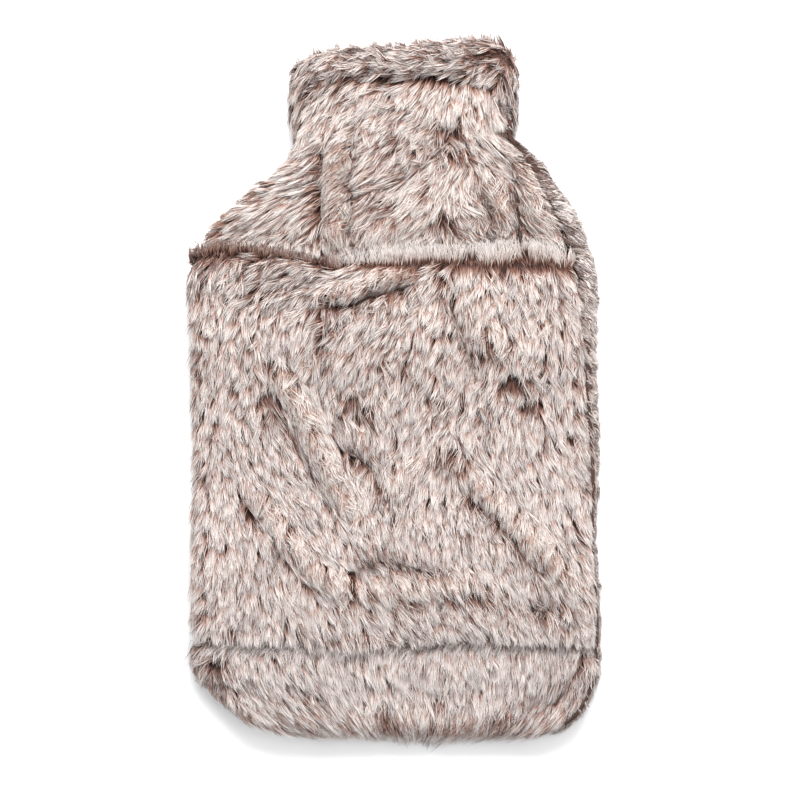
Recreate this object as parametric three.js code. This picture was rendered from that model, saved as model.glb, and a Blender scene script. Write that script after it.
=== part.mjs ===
// A long-pile faux-fur cover for a hot water bottle, lying empty on its back.
// Millimetres, +Z up. +Y runs from the rounded bottom to the neck, +X to the right seen from above.
// The origin is the middle of the resting face. Every sheet is the knitted backing with its pile.
import * as THREE from "three";

// Cloth, as it lies: backing and pile together.
const BACK_CLOTH = 6; // the back panel, whose pile is pressed by the weight above it
const FRONT_CLOTH = 8; // a front panel whose pile lies free
const PRESSED_CLOTH = 5; // a front panel under the edge of its neighbour
const CAVITY = 7; // the flat space for the bottle, between back and front
const LAYER_GAP = 0.8; // between two panels that lap
const SEAM_GAP = 0.6; // between two panels that are sewn edge to edge
const MARGIN = 3; // the back panel's thickness along the left and bottom seams
const MARGIN_WIDTH = 13; // how far that thin margin reaches in

// Levels above the resting face.
const FRONT_FLOOR = BACK_CLOTH + CAVITY;
const LAP_FLOOR = FRONT_FLOOR + PRESSED_CLOTH + LAYER_GAP;
const SEAM_LEVEL = MARGIN + SEAM_GAP;

// Ends of the panels along Y.
const BOTTOM_END = -187.4;
const YOKE_HIDDEN_EDGE = 32;
const BOTTOM_HIDDEN_EDGE = -94;
const BACK_TOP = 145;
const LAP_SETTLE = 44; // the length over which the middle panel sinks off its neighbour
const END_ROUND = 13; // how far the bottom rounds off, in plan
const SIDE_ROUND = 10; // how far the sides round off, in plan
const EDGE_ROUND = 5; // how far a turned edge rounds off
const SEAM_WALL = 4.8; // the least thickness of the back panel where it stands up at the right seam
const YOKE_INSET = 9.2; // how far a panel stays inside the one that laps it

// Facets.
const ROW_STEP = 9.5;
const END_ROW_STEP = 6;
const FRONT_COLUMNS = 19;
const BACK_ROW_STEP = 14;
const BACK_COLUMNS = 7;
const CUFF_COLUMNS = 9;
const WRAP_ANGLES = [222, 198, 174, 150, 126, 104]; // round the left side, from below
const CURL_ANGLES = [-90, -62, -34, -6, 22, 50, 74]; // round the right side, from below

// The cover's outline, pile included.
const OUTLINE = [
  { y: 190, left: -54, right: 64 },
  { y: 145, left: -54, right: 64.5 },
  { y: 132, left: -54.5, right: 66.5 },
  { y: 126, left: -57, right: 74 },
  { y: 119, left: -60.5, right: 81 },
  { y: 113, left: -66.5, right: 84.5 },
  { y: 107, left: -76, right: 87.5 },
  { y: 100, left: -84, right: 93 },
  { y: 94, left: -90.5, right: 97.5 },
  { y: 88, left: -97, right: 100.5 },
  { y: 81, left: -103, right: 102.5 },
  { y: 75, left: -107.5, right: 104.5 },
  { y: 67, left: -110, right: 107 },
  { y: 24, left: -110, right: 108 },
  { y: -40, left: -109, right: 109.5 },
  { y: -72, left: -109.7, right: 108 },
  { y: -104, left: -110, right: 109.5 },
  { y: -130, left: -109, right: 110.5 },
  { y: -141, left: -108.5, right: 110 },
  { y: -148, left: -106.5, right: 110 },
  { y: -155, left: -101.8, right: 108.5 },
  { y: -161, left: -97, right: 106 },
  { y: -167, left: -91, right: 103 },
  { y: -173, left: -83, right: 98 },
  { y: -179, left: -69.5, right: 89 },
  { y: -184, left: -50, right: 75 },
  { y: BOTTOM_END, left: -32, right: 54 },
];

// The right side seam, which has rolled on to the front between the shoulder and the bottom.
const SEAM = [
  { y: 190, x: 62 },
  { y: 145, x: 62.5 },
  { y: 132, x: 64 },
  { y: 119, x: 72 },
  { y: 107, x: 76.5 },
  { y: 97, x: 81 },
  { y: 88, x: 87 },
  { y: 79, x: 91 },
  { y: 66, x: 94.5 },
  { y: 45, x: 97 },
  { y: 15, x: 99.8 },
  { y: -40, x: 103.5 },
  { y: -80, x: 105 },
  { y: -120, x: 107 },
  { y: -141, x: 107 },
  { y: -155, x: 105 },
  { y: -167, x: 99.5 },
  { y: -179, x: 85.5 },
  { y: BOTTOM_END, x: 50.5 },
];

// The arched top of the yoke's neck, where the cuff is sewn on.
const NECK_ARCH = [
  { x: -54, y: 145 },
  { x: -49, y: 153 },
  { x: -41, y: 161 },
  { x: -28, y: 166.5 },
  { x: 0, y: 167.5 },
  { x: 32, y: 168.5 },
  { x: 44, y: 167 },
  { x: 53, y: 160 },
  { x: 60, y: 149 },
  { x: 64, y: 142 },
];

// The top of the cuff, which slants up to the right.
const CUFF_TOP = [
  { x: -55, y: 168 },
  { x: -50, y: 175 },
  { x: -42, y: 179 },
  { x: 0, y: 183.5 },
  { x: 38, y: 187.4 },
  { x: 54, y: 186.5 },
  { x: 65, y: 180 },
];

// The turned top edge of the middle panel, which sags towards the fold in the yoke.
const MIDDLE_TOP = [
  { x: -110, y: 71.5 },
  { x: -104, y: 75.5 },
  { x: -96, y: 78 },
  { x: -80, y: 77 },
  { x: -55, y: 73.5 },
  { x: -33, y: 69.5 },
  { x: -22, y: 71.5 },
  { x: 0, y: 75 },
  { x: 30, y: 76.5 },
  { x: 84, y: 77 },
  { x: 95, y: 73 },
];

// The turned bottom edge of the middle panel.
const MIDDLE_BOTTOM = [
  { x: -110, y: -132.5 },
  { x: -80, y: -134.5 },
  { x: -56, y: -135 },
  { x: -48, y: -137.5 },
  { x: 0, y: -137 },
  { x: 14, y: -135 },
  { x: 110, y: -136 },
];

// Soft ridges and troughs of the front. lift is the height at the middle line, reach the half width.
const FOLDS = [
  { of: "yoke", lift: 3.2, reach: 5, path: [[-30.5, 134], [-30, 101], [-31.5, 66]] },
  { of: "yoke", lift: -2.4, reach: 4, path: [[-37.5, 133], [-38.5, 88]] },
  { of: "yoke", lift: -2.6, reach: 4, path: [[-23.5, 136], [-24.5, 101], [-25, 72]] },
  { of: "yoke", lift: -3, reach: 4.5, path: [[45, 110], [53, 79]] },
  { of: "yoke", lift: 2.6, reach: 4.5, path: [[52, 113], [58.5, 80]] },
  { of: "yoke", lift: -3.2, reach: 4.5, path: [[62.5, 120], [65, 78]] },
  { of: "yoke", lift: -1.6, reach: 6, path: [[32, 140], [16, 120], [0, 107]] },
  { of: "middle", lift: 3, reach: 6, path: [[-50, 55.5], [-24, 59.5], [3, 65]] },
  { of: "middle", lift: -4.4, reach: 4.5, path: [[-42, 45], [-26, 48], [-10, 52], [11, 58]] },
  { of: "middle", lift: 3.6, reach: 6.5, path: [[-58, 6], [-44, -20], [-32, -52], [-20, -79]] },
  { of: "middle", lift: -3, reach: 5.5, path: [[-67, -3], [-57, -26], [-48, -47], [-35, -67]] },
  { of: "middle", lift: 2.8, reach: 6.5, path: [[-77, -50], [-56, -79], [-40, -110], [-27, -124]] },
  { of: "middle", lift: -2.6, reach: 5.5, path: [[-81, -56], [-69, -74], [-46, -103]] },
  { of: "middle", lift: -2.6, reach: 5, path: [[-32, -31], [-20, -34], [-11, -44]] },
  { of: "middle", lift: 2.2, reach: 6, path: [[-8, -53], [8, -42], [29, -31]] },
  { of: "middle", lift: 3.2, reach: 7, path: [[32, -34], [56, -56], [74, -81], [95, -104]] },
  { of: "middle", lift: -3, reach: 5.5, path: [[42, -57], [58, -71], [65, -89]] },
  { of: "middle", lift: -2, reach: 5, path: [[-23, -96], [-5, -90], [21, -97]] },
  { of: "middle", lift: 2, reach: 6, path: [[-26, -104], [13, -102], [56, -113]] },
  { of: "middle", lift: -2, reach: 5, path: [[69, -114], [88, -117]] },
  { of: "bottom", lift: -1.8, reach: 6, path: [[-98, -142], [-92, -160]] },
  { of: "bottom", lift: -2, reach: 7, path: [[97, -148], [88, -166], [64, -172]] },
];

const clamp = THREE.MathUtils.clamp;
const smoothstep = THREE.MathUtils.smoothstep;
const radians = THREE.MathUtils.degToRad;

// A smooth curve through the rows of a table, read at one value of its key column.
function along(rows, key, column, at) {
  const up = rows[0][key] < rows[rows.length - 1][key] ? rows : rows.toReversed();
  const last = up.length - 1;
  const t = clamp(at, up[0][key], up[last][key]);
  const i = clamp(up.findIndex((row) => row[key] > t) - 1, 0, last - 1);
  const n = t >= up[last][key] ? last - 1 : i;
  const slope = (k) => {
    const [a, b] = [up[Math.max(k - 1, 0)], up[Math.min(k + 1, last)]];
    return (b[column] - a[column]) / (b[key] - a[key]);
  };
  const span = up[n + 1][key] - up[n][key];
  const s = (t - up[n][key]) / span;
  const [from, to] = [up[n][column], up[n + 1][column]];
  return (
    from * (2 * s ** 3 - 3 * s ** 2 + 1) +
    to * (3 * s ** 2 - 2 * s ** 3) +
    span * slope(n) * (s ** 3 - 2 * s ** 2 + s) +
    span * slope(n + 1) * (s ** 3 - s ** 2)
  );
}

const leftAt = (y) => along(OUTLINE, "y", "left", y);
const rightAt = (y) => along(OUTLINE, "y", "right", y);
const seamAt = (y) => Math.min(along(SEAM, "y", "x", y), rightAt(y) - SEAM_WALL);

// The height that the folds of one panel add at a point.
function foldLift(panel, x, y) {
  let lift = 0;
  for (const fold of FOLDS.filter((row) => row.of === panel)) {
    let nearest = Infinity;
    let taper = 1;
    const lengths = fold.path.slice(1).map(([x1, y1], i) => {
      const [x0, y0] = fold.path[i];
      return Math.hypot(x1 - x0, y1 - y0);
    });
    const whole = lengths.reduce((sum, length) => sum + length, 0);
    let before = 0;
    lengths.forEach((length, i) => {
      const [[ax, ay], [bx, by]] = [fold.path[i], fold.path[i + 1]];
      const s = clamp(((x - ax) * (bx - ax) + (y - ay) * (by - ay)) / length ** 2, 0, 1);
      const away = Math.hypot(x - ax - s * (bx - ax), y - ay - s * (by - ay));
      if (away < nearest) {
        nearest = away;
        const share = (before + s * length) / whole;
        taper = smoothstep(Math.min(share, 1 - share), -0.12, 0.2);
      }
      before += length;
    });
    lift += fold.lift * taper * Math.exp(-((nearest / fold.reach) ** 2));
  }
  return lift;
}

// A quarter-circle rise from 0 at an edge to 1 at a distance of round from it.
const rise = (distance, round) => Math.sqrt(1 - (1 - clamp(distance / round, 0, 1)) ** 2);

// Rows from the first stop to the last, step apart up to each stop, and closer at both ends.
function rowsThrough(first, ...stops) {
  const rows = [first];
  for (const { y, step } of stops) {
    const from = rows[rows.length - 1];
    const count = Math.max(Math.round(Math.abs(y - from) / step), 1);
    for (let i = 1; i <= count; i++) rows.push(from + ((y - from) * i) / count);
  }
  const last = rows[rows.length - 1];
  const sign = Math.sign(last - first);
  const near = [1.2, 3.6].flatMap((d) => [first + sign * d, last - sign * d]);
  return [...rows, ...near].sort((p, q) => (p - q) * sign);
}

// A closed sheet from a grid of pairs of points, one on its outer face and one on its inner face.
// With ring set, the last column joins the first, as round a tube.
function sheetGeometry(grid, ring = false) {
  const [rows, columns] = [grid.length, grid[0].length];
  const positions = grid.flat().flatMap(({ outer, inner }) => [...outer, ...inner]);
  const outer = (r, c) => 2 * (r * columns + (c % columns));
  const inner = (r, c) => outer(r, c) + 1;
  const triangles = [];
  const quad = (a, b, c, d) => triangles.push(a, b, c, a, c, d);
  const last = ring ? columns : columns - 1;
  for (let c = 0; c < last; c++) {
    for (let r = 0; r < rows - 1; r++) {
      quad(outer(r, c), outer(r + 1, c), outer(r + 1, c + 1), outer(r, c + 1));
      quad(inner(r, c), inner(r, c + 1), inner(r + 1, c + 1), inner(r + 1, c));
    }
    quad(inner(0, c), outer(0, c), outer(0, c + 1), inner(0, c + 1));
    quad(outer(rows - 1, c), inner(rows - 1, c), inner(rows - 1, c + 1), outer(rows - 1, c + 1));
  }
  for (let r = 0; !ring && r < rows - 1; r++) {
    quad(outer(r, 0), inner(r, 0), inner(r + 1, 0), outer(r + 1, 0));
    quad(inner(r, last), outer(r, last), outer(r + 1, last), inner(r + 1, last));
  }
  const geometry = new THREE.BufferGeometry();
  geometry.setAttribute("position", new THREE.Float32BufferAttribute(positions, 3));
  geometry.setIndex(triangles);
  geometry.computeVertexNormals();
  return geometry;
}

// One row of a front panel: up round the left side, across the top and down into the right seam.
// faceAt gives the levels of the outer and inner face, and seams says where the row's ends are.
function frontRow(y, { left, right, wrapEnd, cloth, faceAt, yAt }) {
  const place = (x, outerZ, innerZ) => ({ outer: [x, yAt(x, y), outerZ], inner: [x, yAt(x, y), innerZ] });
  const start = left + SIDE_ROUND;
  const [topOuter, topInner] = faceAt(start, yAt(start, y));
  const low = Math.min(SEAM_LEVEL, topInner);
  const wrap = WRAP_ANGLES.map((angle) => {
    const turn = radians(Math.min(angle, wrapEnd));
    const [cos, sin] = [Math.cos(turn), Math.sin(turn)];
    const half = (topOuter + low) / 2;
    const outerZ = sin > 0 ? half + (topOuter - half) * sin : half * (1 + sin);
    const innerRound = Math.max(SIDE_ROUND - cloth, 1) * (sin < 0 ? 1 - 0.25 * sin : -cos);
    const middle = (topInner + BACK_CLOTH + SEAM_GAP) / 2;
    const innerZ = middle + Math.max(topInner - middle, 0) * sin;
    const x = start + SIDE_ROUND * cos;
    return {
      outer: [x, yAt(sin > 0 ? x : left, y), Math.max(outerZ, low + 0.6)],
      inner: [start - innerRound, yAt(left, y), Math.min(Math.max(innerZ, low), topInner)],
    };
  });
  const end = right - 3.2;
  const across = Array.from({ length: FRONT_COLUMNS }, (_, i) => {
    const x = start + ((end - start) * i) / (FRONT_COLUMNS - 1);
    const [outerZ, innerZ] = faceAt(x, yAt(x, y));
    return place(x, outerZ, innerZ);
  });
  const [endOuter, endInner] = faceAt(end, yAt(end, y));
  const tuck = [
    { x: right - 0.9, sink: 0.16 },
    { x: right, sink: 0.42 },
  ].map(({ x, sink }) => place(x, endOuter - (endOuter - endInner) * sink, endInner));
  return [...wrap, ...across, ...tuck];
}

// The yoke: the front of the neck and the shoulders, its lower edge lying under the middle panel.
function yokeGeometry() {
  const top = 168;
  const lap = (x) => along(MIDDLE_TOP, "x", "y", x);
  const rows = rowsThrough(top, { y: YOKE_HIDDEN_EDGE, step: ROW_STEP });
  const grid = rows.map((y) => {
    const hidden = smoothstep(95 - y, 0, 13);
    const left = Math.max(leftAt(y), leftAt(60) + YOKE_INSET);
    const right = seamAt(y) - SEAM_GAP;
    const drop = (x) => top - (along(NECK_ARCH, "x", "y", x) - 1);
    return frontRow(y, {
      left,
      right,
      wrapEnd: 222 - 48 * hidden,
      cloth: FRONT_CLOTH,
      yAt: (x, at) => at - drop(x) * smoothstep(at, 118, top),
      faceAt: (x, at) => {
        const pressed = smoothstep(lap(x) + 17 - at, 0, 9);
        const cloth = THREE.MathUtils.lerp(FRONT_CLOTH, PRESSED_CLOTH, pressed);
        const [above, below] = [top - y + 1.2, y - YOKE_HIDDEN_EDGE + 1.2];
        const edge = Math.min(rise(below, EDGE_ROUND), rise(above, EDGE_ROUND));
        const lift = foldLift("yoke", x, at) * (1 - pressed);
        const body = clamp(cloth * edge + lift, 2, FRONT_CLOTH + 4);
        return [FRONT_FLOOR + body, FRONT_FLOOR];
      },
    });
  });
  return sheetGeometry(grid);
}

// The middle panel: a broad band over both neighbours, its top and bottom edges turned in.
function middleGeometry() {
  const [top, bottom] = [77, -136];
  const rows = rowsThrough(top, { y: bottom, step: ROW_STEP });
  const topShift = (x) => along(MIDDLE_TOP, "x", "y", x) - top;
  const bottomShift = (x) => along(MIDDLE_BOTTOM, "x", "y", x) - bottom;
  const grid = rows.map((y) =>
    frontRow(y, {
      left: leftAt(Math.min(y, 66)),
      right: seamAt(y) - SEAM_GAP,
      wrapEnd: 222,
      cloth: FRONT_CLOTH,
      yAt: (x, at) => {
        const up = topShift(x) * smoothstep(at, 35, top);
        return at + up + bottomShift(x) * smoothstep(-at, 115, -bottom);
      },
      faceAt: (x, at) => {
        const overYoke = smoothstep(at, YOKE_HIDDEN_EDGE - LAP_SETTLE, YOKE_HIDDEN_EDGE - 2);
        const overBottom = smoothstep(-at, -BOTTOM_HIDDEN_EDGE - LAP_SETTLE, -BOTTOM_HIDDEN_EDGE - 2);
        const floor = THREE.MathUtils.lerp(FRONT_FLOOR, LAP_FLOOR, Math.max(overYoke, overBottom));
        const edge = Math.min(rise(top - y + 1, EDGE_ROUND), rise(y - bottom + 1, EDGE_ROUND));
        const lift = foldLift("middle", x, at);
        const body = clamp(FRONT_CLOTH * edge + lift, 2.4, FRONT_CLOTH + 4.5);
        return [floor + body, floor + 0.6 * Math.max(lift, 0) * edge];
      },
    }),
  );
  return sheetGeometry(grid);
}

// The bottom panel: its upper edge under the middle panel, rounded off at the bottom seam.
function bottomGeometry() {
  const end = { y: BOTTOM_END, step: END_ROW_STEP };
  const rows = rowsThrough(BOTTOM_HIDDEN_EDGE, { y: -152, step: 10 }, end);
  const grid = rows.map((y) => {
    const hidden = smoothstep(y, -146, -139);
    const low = rise(y - BOTTOM_END, END_ROUND);
    return frontRow(y, {
      left: leftAt(y) + hidden * YOKE_INSET,
      right: seamAt(y) - hidden * 5 - 2.4 * SEAM_GAP,
      wrapEnd: 222 - 48 * hidden,
      cloth: FRONT_CLOTH,
      yAt: (x, at) => at,
      faceAt: (x, at) => {
        const pressed = smoothstep(at, -155, -146);
        const cloth = THREE.MathUtils.lerp(FRONT_CLOTH, PRESSED_CLOTH, pressed);
        const edge = rise(BOTTOM_HIDDEN_EDGE - y + 1.2, EDGE_ROUND);
        const lift = foldLift("bottom", x, at) * (1 - pressed);
        const body = clamp(cloth * edge + lift, 2, FRONT_CLOTH + 4);
        const inward = rise(y - BOTTOM_END - FRONT_CLOTH, END_ROUND);
        const foot = SEAM_LEVEL + 0.4;
        const floor = foot + (FRONT_FLOOR - foot) * inward;
        const crest = foot + 1 + (FRONT_FLOOR + body - foot - 1) * low;
        return [Math.max(crest, floor + 1), floor];
      },
    });
  });
  return sheetGeometry(grid);
}

// The back panel: flat on its pile, thin along the left and bottom seams, and curled up on the
// right as far as the side seam, which has rolled over on to the front at the shoulder.
function backGeometry() {
  const body = { y: BACK_TOP, step: BACK_ROW_STEP };
  const rows = rowsThrough(BOTTOM_END + 3, { y: -152, step: END_ROW_STEP }, body);
  const grid = rows.map((y) => {
    const [left, right, tip] = [leftAt(y) + 2.5, rightAt(y), seamAt(y) + SEAM_GAP];
    const end = rise(y - BOTTOM_END - 1.5, END_ROUND);
    const crest = SEAM_LEVEL + (FRONT_FLOOR + FRONT_CLOTH - SEAM_LEVEL) * end;
    const thick = MARGIN + (BACK_CLOTH - MARGIN) * smoothstep(y - BOTTOM_END, 8, MARGIN_WIDTH + 5);
    const round = clamp(crest / 2, 3, SIDE_ROUND);
    const pivot = right - round;
    const wall = clamp(right - tip, 2, Math.min(BACK_CLOTH, round - 1));
    const flat = [
      { x: left, low: 1, high: MARGIN },
      { x: left + MARGIN_WIDTH, low: 0, high: thick },
    ];
    for (let i = 1; i <= BACK_COLUMNS; i++) {
      const x = THREE.MathUtils.lerp(left + MARGIN_WIDTH, pivot, i / (BACK_COLUMNS + 1));
      flat.push({ x, low: 0, high: thick });
    }
    const cells = flat.map(({ x, low, high }) => ({ outer: [x, y, low], inner: [x, y, high] }));
    for (const angle of CURL_ANGLES) {
      const [cos, sin] = [Math.cos(radians(angle)), Math.sin(radians(angle))];
      const outerX = Math.max(pivot + round * cos, tip + 0.4 * wall);
      const innerX = sin < 0 ? pivot + (round - wall) * cos : Math.max(pivot + (round - wall) * cos, tip);
      cells.push({
        outer: [outerX, y, (crest / 2) * (1 + sin)],
        inner: [Math.min(innerX, outerX - 0.3), y, thick + (crest - thick - wall) * 0.5 * (1 + sin)],
      });
    }
    const shoulder = Math.max(tip + 0.3 * wall, Math.min(pivot, tip + 0.4 * wall));
    cells.push({ outer: [shoulder, y, crest], inner: [tip + 0.1 * wall, y, crest - wall * 0.8] });
    cells.push({ outer: [tip, y, crest - wall * 0.3], inner: [tip, y, crest - wall * 0.7] });
    return cells;
  });
  return sheetGeometry(grid);
}

// The cuff: a rolled band sewn round the top of the neck, with the mouth through it.
function cuffGeometry() {
  const crest = FRONT_FLOOR + FRONT_CLOTH + 2.5;
  const [left, right] = [leftAt(150) - 1.5, rightAt(150) + 0.5];
  const [mouthLow, mouthHigh] = [BACK_CLOTH + 1, FRONT_FLOOR];
  const wall = 9;
  const side = (middle, round, angles) =>
    angles.map((angle) => ({
      x: middle + round * Math.cos(radians(angle)),
      inX: middle + (round - wall) * Math.cos(radians(angle)),
      sin: Math.sin(radians(angle)),
    }));
  const round = 12;
  const span = Array.from({ length: CUFF_COLUMNS }, (_, i) => (i + 1) / (CUFF_COLUMNS + 1));
  const [from, to] = [left + round, right - round];
  const level = (x, sin) => ({ x, inX: x, sin });
  const loop = [
    level(from, 1),
    ...side(from, round, [115, 140, 165, 195, 220, 245]),
    level(from, -1),
    ...span.map((s) => level(from + (to - from) * s, -1)),
    level(to, -1),
    ...side(to, round, [-65, -40, -15, 15, 40, 65]),
    level(to, 1),
    ...span.map((s) => level(to + (from - to) * s, 1)),
  ];
  const steps = [0, 0.12, 0.35, 0.65, 0.88, 1];
  const grid = steps.map((s) => {
    const puff = 0.72 + 0.28 * Math.sin(Math.PI * clamp(s, 0.02, 0.98)) ** 0.6;
    const yAt = (x, sin) => {
      const arch = sin > 0 ? along(NECK_ARCH, "x", "y", x) : BACK_TOP;
      const start = Math.max(arch, BACK_TOP) + SEAM_GAP;
      return THREE.MathUtils.lerp(start, along(CUFF_TOP, "x", "y", x), s);
    };
    return loop.map(({ x, inX, sin }) => {
      const outerZ = sin > 0 ? crest / 2 + (crest * puff - crest / 2) * sin : (crest / 2) * (1 + sin);
      const middle = (mouthLow + mouthHigh) / 2;
      const innerZ = middle + ((mouthHigh - mouthLow) / 2) * sin;
      return { outer: [x, yAt(x, sin), outerZ], inner: [inX, yAt(inX, sin), innerZ] };
    });
  });
  return sheetGeometry(grid, true);
}

const PILE = { roughness: 0.9, metalness: 0 };
const furs = {
  body: new THREE.MeshStandardMaterial({ color: 0xc6b3ac, ...PILE }),
  cuff: new THREE.MeshStandardMaterial({ color: 0xb39f97, ...PILE }),
};

function piece(name, geometry, material) {
  const mesh = new THREE.Mesh(geometry, material);
  mesh.name = name;
  return mesh;
}

const cover = new THREE.Group();
cover.add(piece("back_panel", backGeometry(), furs.body));
cover.add(piece("yoke_panel", yokeGeometry(), furs.body));
cover.add(piece("middle_panel", middleGeometry(), furs.body));
cover.add(piece("bottom_panel", bottomGeometry(), furs.body));
cover.add(piece("neck_cuff", cuffGeometry(), furs.cuff));

export default cover;
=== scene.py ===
"""A long-pile faux-fur cover for a hot water bottle, lying empty on its back.

The cloth of each panel is a thin knitted backing, and its pile is a mesh of fine flat hairs that
grow from it in locks. Sizes are in millimetres and become metres where a mesh is made.
+Y runs from the round bottom to the neck, +X to the right, and z is up from the table.
"""

import math
from collections import namedtuple
from dataclasses import dataclass

import bmesh
import bpy
import numpy as np
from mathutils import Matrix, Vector


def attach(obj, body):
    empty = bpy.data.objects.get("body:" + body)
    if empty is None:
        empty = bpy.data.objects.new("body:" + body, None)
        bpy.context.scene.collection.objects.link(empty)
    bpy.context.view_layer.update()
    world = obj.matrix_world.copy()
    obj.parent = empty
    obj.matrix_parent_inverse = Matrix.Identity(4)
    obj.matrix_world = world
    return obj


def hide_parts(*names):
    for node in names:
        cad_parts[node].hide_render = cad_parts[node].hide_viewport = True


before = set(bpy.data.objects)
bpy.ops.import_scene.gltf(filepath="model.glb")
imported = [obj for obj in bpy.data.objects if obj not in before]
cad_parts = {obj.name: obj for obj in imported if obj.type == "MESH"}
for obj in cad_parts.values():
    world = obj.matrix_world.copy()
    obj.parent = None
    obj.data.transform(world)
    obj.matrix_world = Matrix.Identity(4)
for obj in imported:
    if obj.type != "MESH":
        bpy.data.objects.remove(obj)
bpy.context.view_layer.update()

# -------------------------------------------------------- The table, the lights, the camera
# A smooth white table top under soft studio light. A broad light stands beyond the neck, so what
# shadow there is falls below the round bottom, and the rest of the room is evenly pale.
MM = 0.001


def srgb(hex_colour):
    """A colour written as sRGB hex, as the linear values that a shader takes."""
    channels = [int(hex_colour[i : i + 2], 16) / 255 for i in (1, 3, 5)]
    return [c / 12.92 if c <= 0.04045 else ((c + 0.055) / 1.055) ** 2.4 for c in channels] + [1]


def add_node(material, kind, settings=None, inputs=None):
    """Adds one node. inputs maps a socket's name to a value, or to the output that feeds it."""
    node = material.node_tree.nodes.new(kind)
    for name, value in (settings or {}).items():
        setattr(node, name, value)
    for name, value in (inputs or {}).items():
        if isinstance(value, bpy.types.NodeSocket):
            material.node_tree.links.new(value, node.inputs[name])
        else:
            node.inputs[name].default_value = value
    return node


def new_material(name):
    """An empty node material and its shader, which the caller fills."""
    material = bpy.data.materials.new(name)
    material.use_nodes = True
    return material, material.node_tree.nodes["Principled BSDF"]


# White laminate: smooth and matt, with no pattern, so it reads as an even white ground.
laminate, laminate_shader = new_material("white laminate")
laminate_shader.inputs["Base Color"].default_value = srgb("#f6f6f6")
laminate_shader.inputs["Roughness"].default_value = 0.7

TABLE = 3.0  # metres
TABLE_LEVEL = -0.0004  # metres; just clear of the lowest hairs
table_bm = bmesh.new()
bmesh.ops.create_grid(table_bm, x_segments=1, y_segments=1, size=TABLE / 2)
bmesh.ops.translate(table_bm, verts=table_bm.verts, vec=(0, 0, TABLE_LEVEL))
table_mesh = bpy.data.meshes.new("table_top")
table_bm.to_mesh(table_mesh)
table_bm.free()
table_mesh.materials.append(laminate)
table = bpy.data.objects.new("table_top", table_mesh)
bpy.context.collection.objects.link(table)

LIGHTS = [
    {"name": "window", "at": (0.08, 1.7, 1.5), "size": 1.4, "watts": 92},
    {"name": "fill", "at": (0.7, 0.1, 2.1), "size": 1.8, "watts": 16},
]
for row in LIGHTS:
    lamp = bpy.data.lights.new(row["name"], "AREA")
    lamp.size = row["size"]
    lamp.energy = row["watts"]
    holder = bpy.data.objects.new(row["name"], lamp)
    holder.location = row["at"]
    holder.rotation_euler = (-Vector(row["at"])).to_track_quat("-Z", "Y").to_euler()
    bpy.context.collection.objects.link(holder)

scene = bpy.context.scene
scene.view_settings.view_transform = "Standard"
scene.world = bpy.data.worlds.new("room")
scene.world.use_nodes = True
room = scene.world.node_tree.nodes["Background"]
room.inputs["Color"].default_value = srgb("#f7f8fa")
room.inputs["Strength"].default_value = 0.79

# The camera looks straight down. These are in metres, and the sensor in millimetres.
COVER_LEVEL = 0.02
CAMERA_HEIGHT = 1.5  # above the cover
VIEW_WIDTH = 0.424  # what the camera takes in there, across
VIEW_MIDDLE = (0.0027, -0.0045)
SENSOR = 36
camera_data = bpy.data.cameras.new("camera")
camera_data.sensor_width = SENSOR
camera_data.lens = SENSOR * CAMERA_HEIGHT / VIEW_WIDTH
camera = bpy.data.objects.new("camera", camera_data)
camera.location = (*VIEW_MIDDLE, CAMERA_HEIGHT + COVER_LEVEL)
bpy.context.collection.objects.link(camera)
scene.camera = camera

# -------------------------------------------------------- The back panel
# One cut of fur with the whole outline, lying pile down on the table, so its pile is pressed flat.
# On the right it curls up and over, as far as the side seam, which has rolled on to the front.
CLOTH = 1.6  # the knitted backing
BACK_CLOTH = 6.0  # the back, with its pressed pile
CAVITY = 7.0  # the open inside, where the bottle goes
FRONT_CLOTH = 8.0  # the front, with its pile
PRESSED_CLOTH = 5.0  # the same, under another panel
LAYER_GAP = 0.8
SEAM_LEVEL = 3.6  # how high the seam round the edge lies
SEAM_WALL = 4.8  # the least of the back that shows beside the rolled seam
FRONT_FLOOR = BACK_CLOTH + CAVITY
LAP_FLOOR = FRONT_FLOOR + PRESSED_CLOTH + LAYER_GAP
BOTTOM_END = -187.4
BACK_TOP = 145.0
END_ROUND = 13.0
SIDE_ROUND = 10.0
CELL = 3.4  # the mesh of each backing, edge to edge
BACK_LEVEL = 2.2  # the backing under the cover, on its pressed pile
EDGE_PILE = 3.5  # from the outline, which takes in the pile, to the backing's edge
CURL_PILE = 3.8  # the same at the right, where it curls up
SEAM_GAP = 0.6  # from the seam's middle to each panel's edge
UNDER_COLUMNS = 30
CURL_COLUMNS = 13
CURL_END = 84  # degrees; how far up and over the right side curls
SEAM_CREST = FRONT_FLOOR + FRONT_CLOTH - 4.6  # the backing's height along the rolled seam
SEAM_TUCK = 3.2  # how far its edge turns down into the seam

# The outline, pile included: height along the cover, then its left and its right edge.
OUTLINE = [
    (190, -54, 64), (145, -54, 64.5), (132, -54.5, 66.5), (126, -57, 74), (119, -60.5, 81),
    (113, -66.5, 84.5), (107, -76, 87.5), (100, -84, 93), (94, -90.5, 97.5), (88, -97, 100.5),
    (81, -103, 102.5), (75, -107.5, 104.5), (67, -110, 107), (24, -110, 108), (-40, -109, 109.5),
    (-72, -109.7, 108), (-104, -110, 109.5), (-130, -109, 110.5), (-141, -108.5, 110),
    (-148, -106.5, 110), (-155, -101.8, 108.5), (-161, -97, 106), (-167, -91, 103),
    (-173, -83, 98), (-179, -69.5, 89), (-184, -50, 75), (BOTTOM_END, -32, 54),
]
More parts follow.
